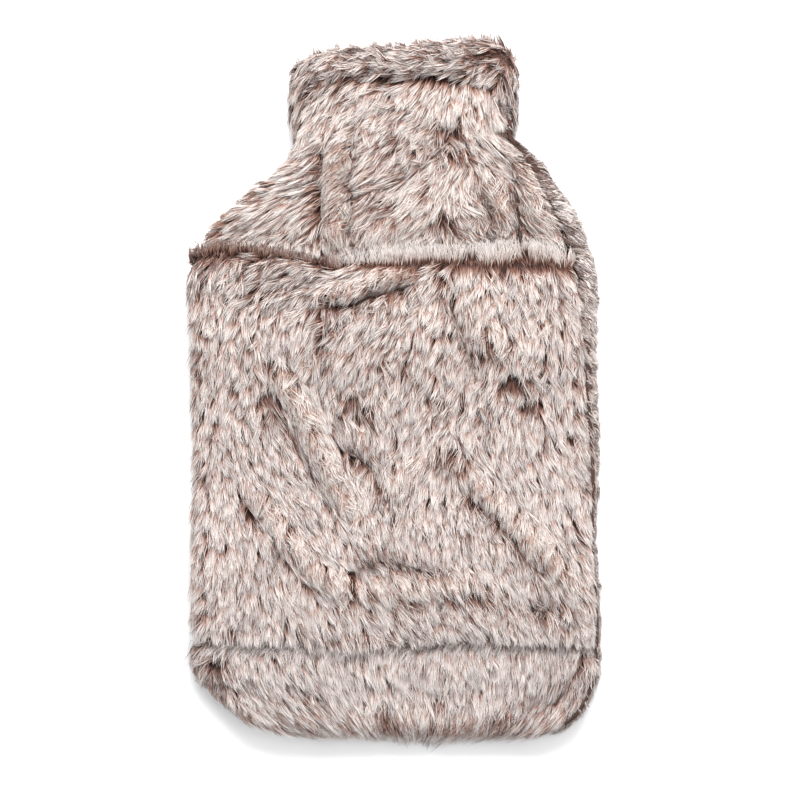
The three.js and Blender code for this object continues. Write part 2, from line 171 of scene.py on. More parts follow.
# The rolled side seam: height along the cover, then how far right it lies.
SEAM = [
    (190, 62), (145, 62.5), (132, 64), (119, 72), (107, 76.5), (97, 81), (88, 87), (79, 91),
    (66, 94.5), (45, 97), (15, 99.8), (-40, 103.5), (-80, 105), (-120, 107), (-141, 107),
    (-155, 105), (-167, 99.5), (-179, 85.5), (BOTTOM_END, 50.5),
]


def along(rows, column, at):
    """The smooth curve through one column of a table, read at values of its first column."""
    table_rows = np.array(sorted(rows), float)
    key, value = table_rows[:, 0], table_rows[:, column]
    slope = np.gradient(value, key)
    at = np.clip(at, key[0], key[-1])
    n = np.clip(np.searchsorted(key, at, side="right") - 1, 0, len(key) - 2)
    span = key[n + 1] - key[n]
    s = (at - key[n]) / span
    return (
        value[n] * (2 * s**3 - 3 * s**2 + 1)
        + value[n + 1] * (3 * s**2 - 2 * s**3)
        + span * slope[n] * (s**3 - 2 * s**2 + s)
        + span * slope[n + 1] * (s**3 - s**2)
    )


def left_at(y):
    return along(OUTLINE, 1, y)


def right_at(y):
    return along(OUTLINE, 2, y)


def seam_at(y):
    return np.minimum(along(SEAM, 1, y), right_at(y) - SEAM_WALL)


def step(value, low, high):
    """0 below low, 1 above high, and smooth between."""
    s = np.clip((value - low) / (high - low), 0, 1)
    return s * s * (3 - 2 * s)


def rise(distance, round_off):
    """A quarter circle's height, from 0 at an edge to 1 at round_off from it."""
    return np.sqrt(1 - (1 - np.clip(distance / round_off, 0, 1)) ** 2)


def add_piece(name, mesh, material):
    """A smooth mesh as a piece of the cover."""
    mesh.shade_smooth()
    mesh.materials.append(material)
    piece = bpy.data.objects.new(name, mesh)
    bpy.context.collection.objects.link(piece)
    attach(piece, "root")
    return piece


def backing(name, points, material, thickness=CLOTH, ring=False):
    """The knitted backing: a grid of cloth laid through points, with its thickness inwards."""
    rows, columns = points.shape[:2]
    bm = bmesh.new()
    bmesh.ops.create_grid(bm, x_segments=columns - 1, y_segments=rows - 1, size=1)
    for vert in bm.verts:
        c = round((vert.co.x + 1) / 2 * (columns - 1))
        r = round((1 - vert.co.y) / 2 * (rows - 1))
        vert.co = Vector(points[r, c]) * MM
    if ring:
        bmesh.ops.remove_doubles(bm, verts=bm.verts, dist=0.05 * MM)
    mesh = bpy.data.meshes.new(name)
    bm.to_mesh(mesh)
    bm.free()
    piece = add_piece(name, mesh, material)
    solid = piece.modifiers.new("cloth", "SOLIDIFY")
    solid.thickness = thickness * MM
    solid.offset = -1
    return piece


# Knitted polyester backing, dyed to the roots' brown: matt, with fine courses of loops.
KNIT_COURSE = 1.4  # the real courses are under 1 mm and would not show
KNIT_PATCH = 9  # the size of the uneven patches of dye
COURSE_RELIEF = 0.3  # how high the loops stand
COURSE_SCALE = 1 / (KNIT_COURSE * MM) / 3.2  # a wave texture has 3.2 bands to a unit
knit, knit_shader = new_material("knitted polyester backing")
place = add_node(knit, "ShaderNodeTexCoord")
courses = add_node(
    knit,
    "ShaderNodeTexWave",
    {"wave_type": "BANDS", "bands_direction": "Y"},
    {"Vector": place.outputs["Object"], "Scale": COURSE_SCALE, "Distortion": 1.5},
)
patches = add_node(
    knit,
    "ShaderNodeTexNoise",
    inputs={"Vector": place.outputs["Object"], "Scale": 1 / (KNIT_PATCH * MM), "Detail": 3},
)
knit_colour = add_node(
    knit,
    "ShaderNodeMix",
    {"data_type": "RGBA"},
    {"Factor": patches.outputs["Fac"], "A": srgb("#2e1c15"), "B": srgb("#4a3026")},
)
knit_bump = add_node(
    knit,
    "ShaderNodeBump",
    inputs={"Height": courses.outputs["Fac"], "Strength": 0.4, "Distance": COURSE_RELIEF * MM},
)
knit.node_tree.links.new(knit_colour.outputs["Result"], knit_shader.inputs["Base Color"])
knit.node_tree.links.new(knit_bump.outputs["Normal"], knit_shader.inputs["Normal"])
knit_shader.inputs["Roughness"].default_value = 0.9

# Long polyester pile, sheared and brushed: soft and nearly matt with a faint sheen, dark brown at
# the root and pinkish beige at the tip, each lock a little different. The hair's own map says where
# on it a point is: u is the lock's shade, and v runs up it.
PILE_SHADES = [
    (0.0, "#45332c"), (0.12, "#75635d"), (0.27, "#b0a6a4"), (0.45, "#cdc8c7"), (0.62, "#d8d3d1"),
    (0.8, "#e0dad7"), (1.0, "#e8e3df"),
]
PILE_DEPTHS = [
    (0.0, "#29170f"), (0.2, "#693f2f"), (0.4, "#a17e70"), (0.6, "#d8cdc8"), (0.8, "#f2edea"),
    (1.0, "#ffffff"),
]
fur, fur_shader = new_material("long polyester pile")
hair_map = add_node(fur, "ShaderNodeTexCoord")
hair_axes = add_node(fur, "ShaderNodeSeparateXYZ", inputs={"Vector": hair_map.outputs["UV"]})


def ramp(material, factor, stops):
    """A colour ramp with these (place, hex) stops."""
    node = add_node(material, "ShaderNodeValToRGB", inputs={"Fac": factor})
    elements = node.color_ramp.elements
    while len(elements) < len(stops):
        elements.new(0.5)
    for element, (position, colour) in zip(elements, stops):
        element.position = position
        element.color = srgb(colour)
    return node


shade = ramp(fur, hair_axes.outputs["X"], PILE_SHADES)
depth_shade = ramp(fur, hair_axes.outputs["Y"], PILE_DEPTHS)
fur_colour = add_node(
    fur,
    "ShaderNodeMix",
    {"data_type": "RGBA", "blend_type": "MULTIPLY"},
    {"Factor": 1.0, "A": shade.outputs["Color"], "B": depth_shade.outputs["Color"]},
)
fur.node_tree.links.new(fur_colour.outputs["Result"], fur_shader.inputs["Base Color"])
fur_shader.inputs["Roughness"].default_value = 0.55
fur_shader.inputs["Specular IOR Level"].default_value = 0.35
fur_shader.inputs["Sheen Weight"].default_value = 0.15

rng = np.random.default_rng(31)


def unit(v):
    return v / np.maximum(np.linalg.norm(v, axis=-1, keepdims=True), 1e-9)


class Skin:
    """A backing's outer face as a grid of points, which the pile grows from and follows.

    It faces up where it is sampled, all over or at one place, or down where facing is -1.
    """

    def __init__(self, points, sample=..., facing=1):
        self.points = points
        self.down = np.gradient(points, axis=0)
        self.across = np.gradient(points, axis=1)
        self.normal = unit(np.cross(self.down, self.across))
        if self.normal[sample][..., 2].sum() * facing < 0:
            self.normal = -self.normal

    def read(self, grid, r, c):
        """grid at fractional rows and columns."""
        r = np.clip(r, 0, grid.shape[0] - 1.001)
        c = np.clip(c, 0, grid.shape[1] - 1.001)
        i, j = r.astype(int), c.astype(int)
        a, b = (r - i)[..., None], (c - j)[..., None]
        return (grid[i, j] * (1 - a) + grid[i + 1, j] * a) * (1 - b) + (
            grid[i, j + 1] * (1 - a) + grid[i + 1, j + 1] * a
        ) * b

    def at(self, r, c):
        """The point at a fractional row and column; past the cloth's edge it goes straight on."""
        rows, columns = self.points.shape[0] - 1.0, self.points.shape[1] - 1.0
        over_r = r - np.clip(r, 0, rows)
        over_c = c - np.clip(c, 0, columns)
        return (
            self.read(self.points, r, c)
            + self.read(self.down, r, c) * over_r[..., None]
            + self.read(self.across, r, c) * over_c[..., None]
        )

    def scatter(self, count, keep):
        """count places spread evenly over the face, where keep allows."""
        area = np.linalg.norm(np.cross(self.down, self.across), axis=-1)[:-1, :-1]
        weight = area * keep(self.points[:-1, :-1], self.normal[:-1, :-1])
        up_to = np.cumsum(weight.ravel()) / weight.sum()
        flat = np.searchsorted(up_to, (np.arange(count) + rng.random(count)) / count)
        flat = np.minimum(flat, weight.size - 1)
        r, c = np.divmod(flat, weight.shape[1])
        return r + rng.random(count), c + rng.random(count)


def waves(x, y, length, seed):
    """A smooth random field, about -1 to 1: the sum of waves of about that length and shorter."""
    field = np.zeros(np.broadcast(x, y).shape)
    source = np.random.default_rng(seed)
    for octave in range(3):
        for _ in range(5):
            angle = source.random() * 2 * np.pi
            rate = 2 * np.pi / length * (1.0 + 0.7 * source.random()) * 1.7**octave
            phase = source.random() * 2 * np.pi
            field += np.sin((x * np.cos(angle) + y * np.sin(angle)) * rate + phase) / 1.5**octave
    return field / 4.5


def combed(rows, x, y, spread=17.0):
    """The nap's lean in degrees at each place, blended from a table of (x, y, lean)."""
    lean = np.radians([row[2] for row in rows])
    weight = np.zeros((len(rows),) + x.shape)
    for i, row in enumerate(rows):
        weight[i] = np.exp(-((x - row[0]) ** 2 + (y - row[1]) ** 2) / (2 * spread**2)) + 1e-6
    sine = np.tensordot(np.sin(lean), weight, 1)
    cosine = np.tensordot(np.cos(lean), weight, 1)
    return np.degrees(np.arctan2(sine, cosine))


# A ridge or a trough: the height of its middle line, its half width, and the path it takes.
Fold = namedtuple("Fold", "lift reach path")


def fold_lift(folds, x, y):
    """The height that folds add at each place. Each fades out towards the ends of its path."""
    lift = np.zeros(np.broadcast(x, y).shape)
    for fold in folds:
        nearest = np.full(lift.shape, np.inf)
        taper = np.ones(lift.shape)
        lengths = [math.dist(a, b) for a, b in zip(fold.path, fold.path[1:])]
        before = 0.0
        for (ax, ay), (bx, by), length in zip(fold.path, fold.path[1:], lengths):
            s = np.clip(((x - ax) * (bx - ax) + (y - ay) * (by - ay)) / length**2, 0, 1)
            away = np.hypot(x - ax - s * (bx - ax), y - ay - s * (by - ay))
            share = (before + s * length) / sum(lengths)
            closer = away < nearest
            taper = np.where(closer, step(np.minimum(share, 1 - share), -0.12, 0.2), taper)
            nearest = np.minimum(nearest, away)
            before += length
        lift += fold.lift * taper * np.exp(-((nearest / fold.reach) ** 2))
    return lift


@dataclass
class Parting:
    """A line along which the nap opens and shows its roots."""

    path: list
    share: float = 0.8  # how many of the hairs that reach it stop there; at 0 it stays closed
    bare: float = 3.4  # how far past it the roots show
    stub: float = 1.8  # the shortest that a hair is cut to
    # A hair cut short at a parting is painted darker, as the shade that its tip dips into.
    fade: float = 0.5  # a hair cut to less than this share of its length is darker
    leans: tuple = ()  # the nap's lean on its two sides
    fan: float = 0  # how far the nap fans out along it
    reach: float = 6  # how far from it the nap is turned
    whole: bool = False  # without the gaps that a long one has
    down_only: bool = False  # only the hairs that lean down stop there


SHORT_PARTING = 22.0  # one shorter than this has no gaps


def meets(x, y, heading_x, heading_y, reach, path):
    """How far each hair runs before it meets a parting's path, or its whole reach."""
    found = reach.copy()
    for (ax, ay), (bx, by) in zip(path, path[1:]):
        ex, ey = bx - ax, by - ay
        cross = heading_x * ey - heading_y * ex
        cross = np.where(np.abs(cross) < 1e-6, 1e-6, cross)
        t = ((ax - x) * ey - (ay - y) * ex) / cross
        s = ((ax - x) * heading_y - (ay - y) * heading_x) / cross
        hit = (t > 0) & (t < found) & (s >= 0) & (s <= 1)
        found = np.where(hit, t, found)
    return found


def beside(x, y, path):
    """How far each place is from a path, and on which side: above 0 is right of it, or above it."""
    nearest = np.full(x.shape, np.inf)
    side = np.ones(x.shape)
    for (ax, ay), (bx, by) in zip(path, path[1:]):
        ex, ey = bx - ax, by - ay
        s = np.clip(((x - ax) * ex + (y - ay) * ey) / (ex * ex + ey * ey), 0, 1)
        away = np.hypot(x - ax - s * ex, y - ay - s * ey)
        side = np.where(away < nearest, np.sign(ex * (y - ay) - ey * (x - ax)), side)
        nearest = np.minimum(nearest, away)
    return nearest, side


# One hair: a strip of two lengths that narrows to a point, wider than a real fibre, which is
# too fine to show, so each stands for a small bundle of them.
HAIR_STEPS = np.array([0.0, 0.46, 1.0])
HAIR_WIDTHS = np.array([0.9, 1.0, 0.0])
hair_bm = bmesh.new()
bmesh.ops.create_grid(hair_bm, x_segments=1, y_segments=2, size=1)
top_edge = [v for v in hair_bm.verts if v.co.y > 0.9]
bmesh.ops.pointmerge(hair_bm, verts=top_edge, merge_co=(0, 1, 0))
hair_bm.verts.index_update()
HAIR_STEP_OF = np.array([round(v.co.y + 1) for v in hair_bm.verts])
HAIR_SIDE_OF = np.array([float(np.sign(round(v.co.x))) for v in hair_bm.verts])
HAIR_FACES = [[v.index for v in face.verts] for face in hair_bm.faces]
hair_bm.free()


def pile_mesh(name, verts, u, v):
    """The mesh of a pile: verts holds each hair's points, and u and v their places on its map."""
    count, per_hair = verts.shape[:2]
    corners = np.concatenate([np.array(face) for face in HAIR_FACES])
    sizes = np.array([len(face) for face in HAIR_FACES])
    starts = np.concatenate([[0], np.cumsum(sizes)[:-1]])
    hair = np.arange(count)[:, None]
    loop_verts = (hair * per_hair + corners[None, :]).ravel()
    mesh = bpy.data.meshes.new(name)
    mesh.vertices.add(count * per_hair)
    mesh.vertices.foreach_set("co", (verts * MM).astype(np.float32).ravel())
    mesh.loops.add(count * len(corners))
    mesh.loops.foreach_set("vertex_index", loop_verts)
    mesh.polygons.add(count * len(sizes))
    mesh.polygons.foreach_set("loop_start", (hair * len(corners) + starts[None, :]).ravel())
    mesh.update(calc_edges=True)
    uv = np.stack([u, v], axis=-1).reshape(-1, 2)[loop_verts]
    layer = mesh.uv_layers.new(name="OFBake")
    layer.data.foreach_set("uv", uv.astype(np.float32).ravel())
    return mesh


# How the hairs of a lock differ: a loose one strays from its lock and a stray one stands up, and
# those on a lock's flanks are lower, and painted darker as the shade between locks. A dark one is
# dyed darker all along; more of them are put where shade is painted, in the folds' troughs, by
# partings and below the top fold.
LOOSE = {"share": 0.14, "spread": 1.7, "gather": 0.35}
STRAY = {"share": 0.03, "height": 1.35}
FLANK = {"from_middle": 1.9, "lower": 0.4, "sunk": 0.24, "darker": 0.22}
DARK = {"share": 0.17, "shade": 0.16}
# What the sizes are drawn from, as shares of the lock's own, and the standard deviations.
RANGE = {"length": (0.78, 1.12), "height": (0.9, 1.08), "width": (0.75, 1.3), "root": (0.5, 1.2)}
LOCK_WIDTHS = (0.85, 1.15)
DEVIATION = {"lean": 5, "cut": 0.9, "lock_bend": 1.3, "bend": 0.4, "roll": 0.5, "tone": 0.06}
BEND_LENGTH = 12  # the bend is what a hair of this length swings sideways
# The folds' painted light: the pile is painted paler along their ridges, as highlight, and darker
# in their troughs, as shade, in full at this height. A hair takes the fold that it lies over, this
# far along it.
PAINTED_FOLD_LIGHT = {"full": 4.0, "along": 0.7, "paler": 0.42, "fewer_dark": 0.7, "sunk": 0.25}
BARE_DEPTH = 0.64  # how far down its own map the tip of a bare hair starts
LEAST_CELL = (1.2, 0.9)  # a row and a column of cloth are never taken as closer than this
LOWEST_HAIR = 0.5  # how far the pile stays above the table


def grow(
    name, skin, locks, comb, keep, partings=(), folds=(), hairs=26, width=0.42, gather=0.86,
    patch=1.35,
):
    """The pile of one backing: locks of hairs that lean together and close up towards their tips.

    comb gives each lock's lean, length, height and shade from where it is rooted. A hair that
    comes to a parting ends there; one rooted just past it shows more of its root.
    """
    r, c = skin.scatter(locks, keep)
    style = comb(skin.at(r, c), skin.read(skin.normal, r, c))
    count = locks * hairs

    def each(values):
        return np.repeat(values, hairs)

    def styled(key, default=0.0):
        return each(np.broadcast_to(style.get(key, default), locks))

    # Where each hair is rooted, and where it is heading.
    row_size = np.linalg.norm(skin.read(skin.down, r, c), axis=-1)
    column_size = np.linalg.norm(skin.read(skin.across, r, c), axis=-1)
    per_row, per_column = (
        each(np.maximum(size, least)) for size, least in zip((row_size, column_size), LEAST_CELL)
    )
    loose = rng.random(count) < LOOSE["share"]
    spread = patch * np.where(loose, LOOSE["spread"], 1)
    off_down = spread * np.clip(rng.normal(0, 1, count), -2, 2)
    off_across = spread * np.clip(rng.normal(0, 1, count), -2, 2)
    turned = np.radians(styled("lean"))
    from_middle = np.abs(off_across * np.cos(turned) - off_down * np.sin(turned)) / patch
    flank = np.clip(from_middle / FLANK["from_middle"], 0, 1) ** 2 * styled("split", 1.0)
    root_r, root_c = each(r) + off_down / per_row, each(c) + off_across / per_column
    base = skin.at(root_r, root_c)
    lean = np.radians(styled("lean") + rng.normal(0, DEVIATION["lean"], count))
    down = unit(skin.read(skin.down, root_r, root_c))
    across = unit(skin.read(skin.across, root_r, root_c))
    heading = down * np.cos(lean)[:, None] + across * np.sin(lean)[:, None]
    length = styled("length") * rng.uniform(*RANGE["length"], count)
    height = styled("height") * rng.uniform(*RANGE["height"], count)
    height = height * (1 - FLANK["lower"] * flank)

    # What the partings make of it: bare is how much of the root shows, and sunk how far up the hair
    # is painted as lit; below that it is painted in shade.
    x, y, ahead_x, ahead_y = base[:, 0], base[:, 1], heading[:, 0], heading[:, 1]
    bare = styled("bare")
    sunk = 1 - FLANK["sunk"] * flank
    for line in partings:
        met = meets(x, y, ahead_x, ahead_y, length, line.path)
        free = np.maximum(met + rng.normal(0, DEVIATION["cut"], count), line.stub)
        applies = (ahead_y < 0) | (not line.down_only)
        if not line.whole and math.dist(line.path[0], line.path[-1]) >= SHORT_PARTING:
            applies = applies & (waves(x, y, 15, 3) > -0.3)
        stops = applies & (met < length) & (rng.random(count) < line.share)
        height = np.where(stops, height * (0.6 + 0.4 * np.minimum(free / length, 1)), height)
        sunk = np.where(stops, sunk * np.clip(free / length / line.fade, 0.3, 1), sunk)
        length = np.where(stops, np.minimum(free, length), length)
        root_shown = line.bare * rng.uniform(*RANGE["root"], count)
        behind = meets(x, y, -ahead_x, -ahead_y, root_shown, line.path)
        bare = np.maximum(bare, applies * line.share * (1 - behind / root_shown))
    stray = rng.random(count) < STRAY["share"]
    height = np.where(stray, height * STRAY["height"], height)
    over_x = x + ahead_x * length * PAINTED_FOLD_LIGHT["along"]
    over_y = y + ahead_y * length * PAINTED_FOLD_LIGHT["along"]
    relief = np.clip(fold_lift(folds, over_x, over_y) / PAINTED_FOLD_LIGHT["full"], -1, 1)

    # The curve of each hair: it rises early, lies over, and closes up with its lock.
    bend = each(rng.normal(0, DEVIATION["lock_bend"], locks))
    bend = bend + rng.normal(0, DEVIATION["bend"], count)
    steps = HAIR_STEPS[None, :]
    run = length[:, None] * steps**1.2
    closing = styled("gather", gather) * np.where(loose, LOOSE["gather"], 1)
    drawn_in = closing[:, None] * steps
    go_down = run * np.cos(lean)[:, None] - off_down[:, None] * drawn_in
    go_across = run * np.sin(lean)[:, None] - off_across[:, None] * drawn_in
    swing = bend[:, None] * steps**2 * (length[:, None] / BEND_LENGTH)
    go_down = go_down - swing * np.sin(lean)[:, None]
    go_across = go_across + swing * np.cos(lean)[:, None]
    rr = root_r[:, None] + go_down / per_row[:, None]
    cc = root_c[:, None] + go_across / per_column[:, None]
    up = unit(skin.read(skin.normal, rr, cc))
    lift = height[:, None] * (1 - (1 - steps) ** 2.1) * (1 - 0.12 * steps**3)
    curve = skin.at(rr, cc) + up * lift[..., None]
    curve[..., 2] = np.maximum(curve[..., 2], LOWEST_HAIR)

    # Its width: a flat strip, rolled a little about its length.
    ahead = unit(np.gradient(curve, axis=1))
    sideways = unit(np.cross(ahead, up))
    roll = rng.normal(0, DEVIATION["roll"], count)[:, None, None]
    flat = sideways * np.cos(roll) + np.cross(ahead, sideways) * np.sin(roll)
    half = each(rng.uniform(*LOCK_WIDTHS, locks)) * rng.uniform(*RANGE["width"], count) * width / 2
    verts = curve[:, HAIR_STEP_OF] + flat[:, HAIR_STEP_OF] * (
        HAIR_SIDE_OF[None, :] * HAIR_WIDTHS[HAIR_STEP_OF][None, :] * half[:, None]
    )[..., None]

    # Its map: u is its shade, a little wide so that no face is empty, and v runs up it.
    # Painted light from the folds: in a trough more hairs are dark, their tone is darker and less
    # of each is lit; on a ridge fewer are dark and their tone is paler, as highlight.
    often_dark = styled("dark", DARK["share"]) * (1 - PAINTED_FOLD_LIGHT["fewer_dark"] * relief)
    dark = rng.random(count) < often_dark
    tone = styled("shade") + PAINTED_FOLD_LIGHT["paler"] * relief + rng.normal(0, DEVIATION["tone"], count)
    # A lock's flanks are painted darker, as the shade between locks.
    tone = tone - FLANK["darker"] * flank
    tone = np.clip(np.where(dark, tone * DARK["shade"], tone), 0.02, 0.98)
    shown = (1 - BARE_DEPTH * bare - PAINTED_FOLD_LIGHT["sunk"] * np.maximum(-relief, 0)) * sunk
    from_v = styled("from_v")[:, None]
    u = tone[:, None] + HAIR_SIDE_OF[None, :] * 0.004
    v = from_v + (1 - from_v) * HAIR_STEPS[HAIR_STEP_OF][None, :] * shown[:, None]
    return add_piece(name, pile_mesh(name, verts, u, 0.01 + 0.98 * v), fur)


def stands_for(node):
    """Hides the solid that a panel replaces.
    """
    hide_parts(node)


def back_points():
    """Rows from the neck down; columns from the left margin, under, and up round the right."""
    curl = np.radians(np.linspace(-90, CURL_END, CURL_COLUMNS))
    grid = []
    for y in np.arange(BACK_TOP - 0.5, BOTTOM_END + 6, -CELL):
        end = rise(y - BOTTOM_END - EDGE_PILE, END_ROUND)
        crest = SEAM_LEVEL + (SEAM_CREST - SEAM_LEVEL) * end
        round_off = np.clip(crest / 2 - 1.0, 1.5, SIDE_ROUND - 4.0)
        pivot = right_at(y) - CURL_PILE - round_off
        tip = seam_at(y) + SEAM_GAP
        under = np.linspace(left_at(y) + EDGE_PILE, pivot, UNDER_COLUMNS)
        flat = np.stack([under, np.full_like(under, y), np.full_like(under, BACK_LEVEL)], axis=1)
        middle, swing = (crest + BACK_LEVEL) / 2, (crest - BACK_LEVEL) / 2
        x = np.maximum(pivot + round_off * np.cos(curl), tip + SEAM_GAP / 2)
        side = np.stack([x, np.full_like(x, y), middle + swing * np.sin(curl)], axis=1)
        last = np.array([[min(tip, x[-1]), y, crest - SEAM_TUCK * end]])
        grid.append(np.concatenate([flat, side[1:], last]))
    return np.array(grid)


back_skin = Skin(back_points(), sample=(50, 20), facing=-1)
back_panel = backing("back_panel_backing", back_skin.points, knit)
# The pile beside the rolled seam stops just short of it.
SEAM_LINE = [(float(seam_at(y)) - 0.8, y) for y in range(150, -186, -12)]
SEAM_PARTING = Parting(SEAM_LINE, share=1.0, bare=0.6, stub=0.6, fade=0.24, whole=True)
UNDERSIDE = -0.5  # cloth whose normal points further down than this lies under the cover


def back_side_comb(root, normal):
    """The pile up the right side, painted pale against the shade on the side. It is brown along the
    seam, and beside it near the neck it is painted darker, as shade.
    """
    x, y = root[:, 0], root[:, 1]
    count = len(x)
    from_seam = np.hypot(x - seam_at(y), root[:, 2] - SEAM_CREST)
    opened = 1 - 0.7 * step(-y, 100, 145)  # the seam closes up towards the round bottom
    brown = opened * np.exp(-((from_seam / (2.8 + 1.2 * waves(x, y, 16, 9))) ** 2))
    over = step(root[:, 2], 8, 15)  # from the side's middle up to its crest
    # Painted shade: beside the seam, from here up to the neck, more hairs are dark and show their
    # roots.
    shaded = step(y, 25, 60) * np.exp(-((from_seam / 5.0) ** 2))
    return {
        "bare": 0.2 * brown + 0.35 * shaded,
        "from_v": np.clip(0.46 + 0.26 * waves(x, y, 9, 11), 0.15, 0.8) * (1 - 0.9 * brown),
        "lean": -34 - 22 * over + 26 * waves(x, y, 18, 5) + rng.normal(0, 10, count),
        "length": rng.uniform(7, 11, count),
        "height": 4.6 * (1 + 0.3 * waves(x, y, 12, 6)) * (1 - 0.6 * brown),
        "shade": np.clip(0.46 + 0.5 * rng.beta(2.4, 1.4, count) + 0.15 * waves(x, y, 20, 10), 0, 1),
        "dark": 0.1 + 0.55 * shaded,
    }


def back_under_comb(root, normal):
    """The pile under the cover, pressed flat by its weight."""
    count = len(root)
    x, y = root[:, 0], root[:, 1]
    return {
        "lean": 20 * waves(x, y, 60, 8) + rng.normal(0, 14, count),
        "length": rng.uniform(11, 15, count),
        "height": np.full(count, 1.7),
        "shade": np.clip(rng.beta(2.0, 1.9, count), 0, 1),
    }


back_side_pile = grow(
    "back_side_pile",
    back_skin,
    locks=3000,
    comb=back_side_comb,
    keep=lambda p, n: (n[:, :, 2] > UNDERSIDE) * (1 + 2.4 * step(p[:, :, 2], 8, 14)),
    partings=[SEAM_PARTING],
    hairs=9,
    width=0.36,
    patch=0.9,
)
back_under_pile = grow(
    "back_under_pile",
    back_skin,
    locks=2300,
    comb=back_under_comb,
    keep=lambda p, n: n[:, :, 2] <= UNDERSIDE,
    hairs=7,
    width=1.1,
    patch=1.2,
)
stands_for("back_panel")

# -------------------------------------------------------- The yoke panel
# The front of the neck and the shoulders, cut from the same fur. Its lower edge lies under the
# middle panel. Lengthwise folds run down from the neck, and the nap flows out to both shoulders.
NECK_TOP = 168.0
YOKE_HIDDEN_EDGE = 32.0
YOKE_INSET = 9.2  # a hidden edge stops this far short of the left side
PILE_DEPTH = 5.2  # from the backing up to the surface of the lying pile
SIDE_DEPTH = 3.8  # the same on the left side
DEEPEST = -4.5  # how far a trough's backing goes below the front's own floor
# The wrap round the left side, in degrees from straight right: from low on the side to the face.
WRAP_FROM = 222
WRAP_TO = 98
WRAP_COLUMNS = 10
WRAP_HIDDEN = 48  # how much less of the side a hidden edge wraps
# The right edge turns down into the seam: how far from it, and how deep.
TUCK_AT = np.array([1.3, 0.6])
TUCK_DROP = np.array([1.6, 4.2])
TUCK_START = 3.0
SIDE_WALL = 0.7  # cloth whose normal points up less than this is on the side
# The stitching along the neck's top, and the middle panel's top fold: left to right, x then y.
NECK_ARCH = [
    (-54, 145), (-49, 153), (-41, 161), (-28, 166.5), (0, 167.5), (32, 168.5), (44, 167),
    (53, 160), (60, 149), (64, 142),
]
MIDDLE_TOP = [
    (-110, 71.5), (-104, 75.5), (-96, 78), (-80, 77), (-55, 73.5), (-33, 69.5), (-22, 71.5),
    (0, 75), (30, 76.5), (84, 77), (95, 73),
]
YOKE_FOLDS = [
    Fold(5.6, 3.8, [(-30.5, 134), (-30, 101), (-31.5, 66)]),
    Fold(-4.2, 3.2, [(-37.5, 133), (-38.5, 84)]),
    Fold(-5.2, 3.0, [(-22.5, 136), (-23.5, 101), (-26, 72)]),
    Fold(-6.4, 3.8, [(45, 110), (53, 79)]),
    Fold(4.4, 3.6, [(53, 113), (58.5, 80)]),
    Fold(-7.5, 3.6, [(62.5, 120), (65, 78)]),
    Fold(3.0, 4.0, [(70, 124), (76, 92)]),
    Fold(-2.4, 5, [(32, 140), (16, 120), (0, 107)]),
    Fold(2.4, 6, [(20, 112), (8, 96), (2, 82)]),
]
# The nap: place, and the lean of the tips from straight down, positive to the right.
YOKE_NAP = [
    (-44, 162, -52), (-18, 160, -50), (10, 160, -52), (30, 158, -42), (48, 160, 30),
    (-42, 144, -42), (-18, 140, -34), (3, 138, -39), (24, 139, -34), (45, 144, 26), (60, 141, 36),
    (-61, 123, -46), (-40, 117, -24), (-18, 112, -33), (3, 112, -45), (24, 114, -37),
    (45, 101, 15), (66, 123, 39), (66, 101, -10), (82, 101, 15), (-82, 101, -51),
    (-61, 101, -48), (-98, 83, -50), (-40, 83, 18), (-18, 82, -18), (3, 82, -26), (24, 82, 6),
    (45, 82, 48), (87, 80, 17),
]
YOKE_PARTINGS = [
    Parting(
        [(-36, 130), (-37.5, 108), (-38.5, 86)],
        share=0.95, bare=2.6, leans=(-46, 14), whole=True,
    ),
    Parting(
        [(-22.5, 132), (-23.5, 101), (-26, 74)],
        share=0.95, bare=3.0, leans=(4, -42), whole=True,
    ),
    Parting([(-41, 160), (-28, 165.5), (32, 167.5), (53, 159)], share=0.0, bare=5.0, whole=True),
    Parting([(-3, 135), (2, 137), (8, 134)], fan=20),
    Parting([(20, 145), (27, 141), (34, 139)], fan=15),
    Parting([(25, 129), (31, 127), (36, 129)], share=0.85, fan=20),
    Parting([(-6, 118), (2, 117), (6, 120)]),
    Parting([(-12, 103), (0, 99), (6, 98)]),
    Parting([(22, 95), (27, 93), (32, 91)], share=0.9, bare=3.2, fan=34, reach=8),
    Parting([(44, 112), (50, 96), (54, 79)], share=1.0, bare=5.0, leans=(-6, 38)),
    Parting([(62, 118), (65, 98), (64, 78)], share=1.0, bare=6.2, leans=(-22, 38), whole=True),
    Parting([(85, 102), (89, 95), (91, 87)], share=1.0, bare=5.5, whole=True),
    Parting([(71, 110), (80, 104)], share=0.85),
    Parting([(2, 150), (8, 151)], fan=20),
    Parting([(-30, 158), (-22, 157)]),
    Parting([(36, 86), (46, 83), (52, 82)]),
]
# Tufts that handling has opened, so that their roots show and more of their hairs are dark, as
# painted shade in the opening: place, and how much.
YOKE_TUFTS = [
    (34, 140, 0.5), (36, 128, 0.5), (3, 136, 0.4), (26, 94.5, 0.7), (54, 88, 0.7), (63, 81, 0.7),
    (88.5, 96, 1.0), (50, 106, 0.4), (-90, 85.5, 0.6), (-38, 97, 0.5),
]
# The yoke's pile stops just above the top fold of the middle panel, which lies over it.
HEM_LINE = [(x, y + 0.4) for x, y in MIDDLE_TOP]
HEM_PARTING = Parting(HEM_LINE, share=1.0, bare=0.1, whole=True)


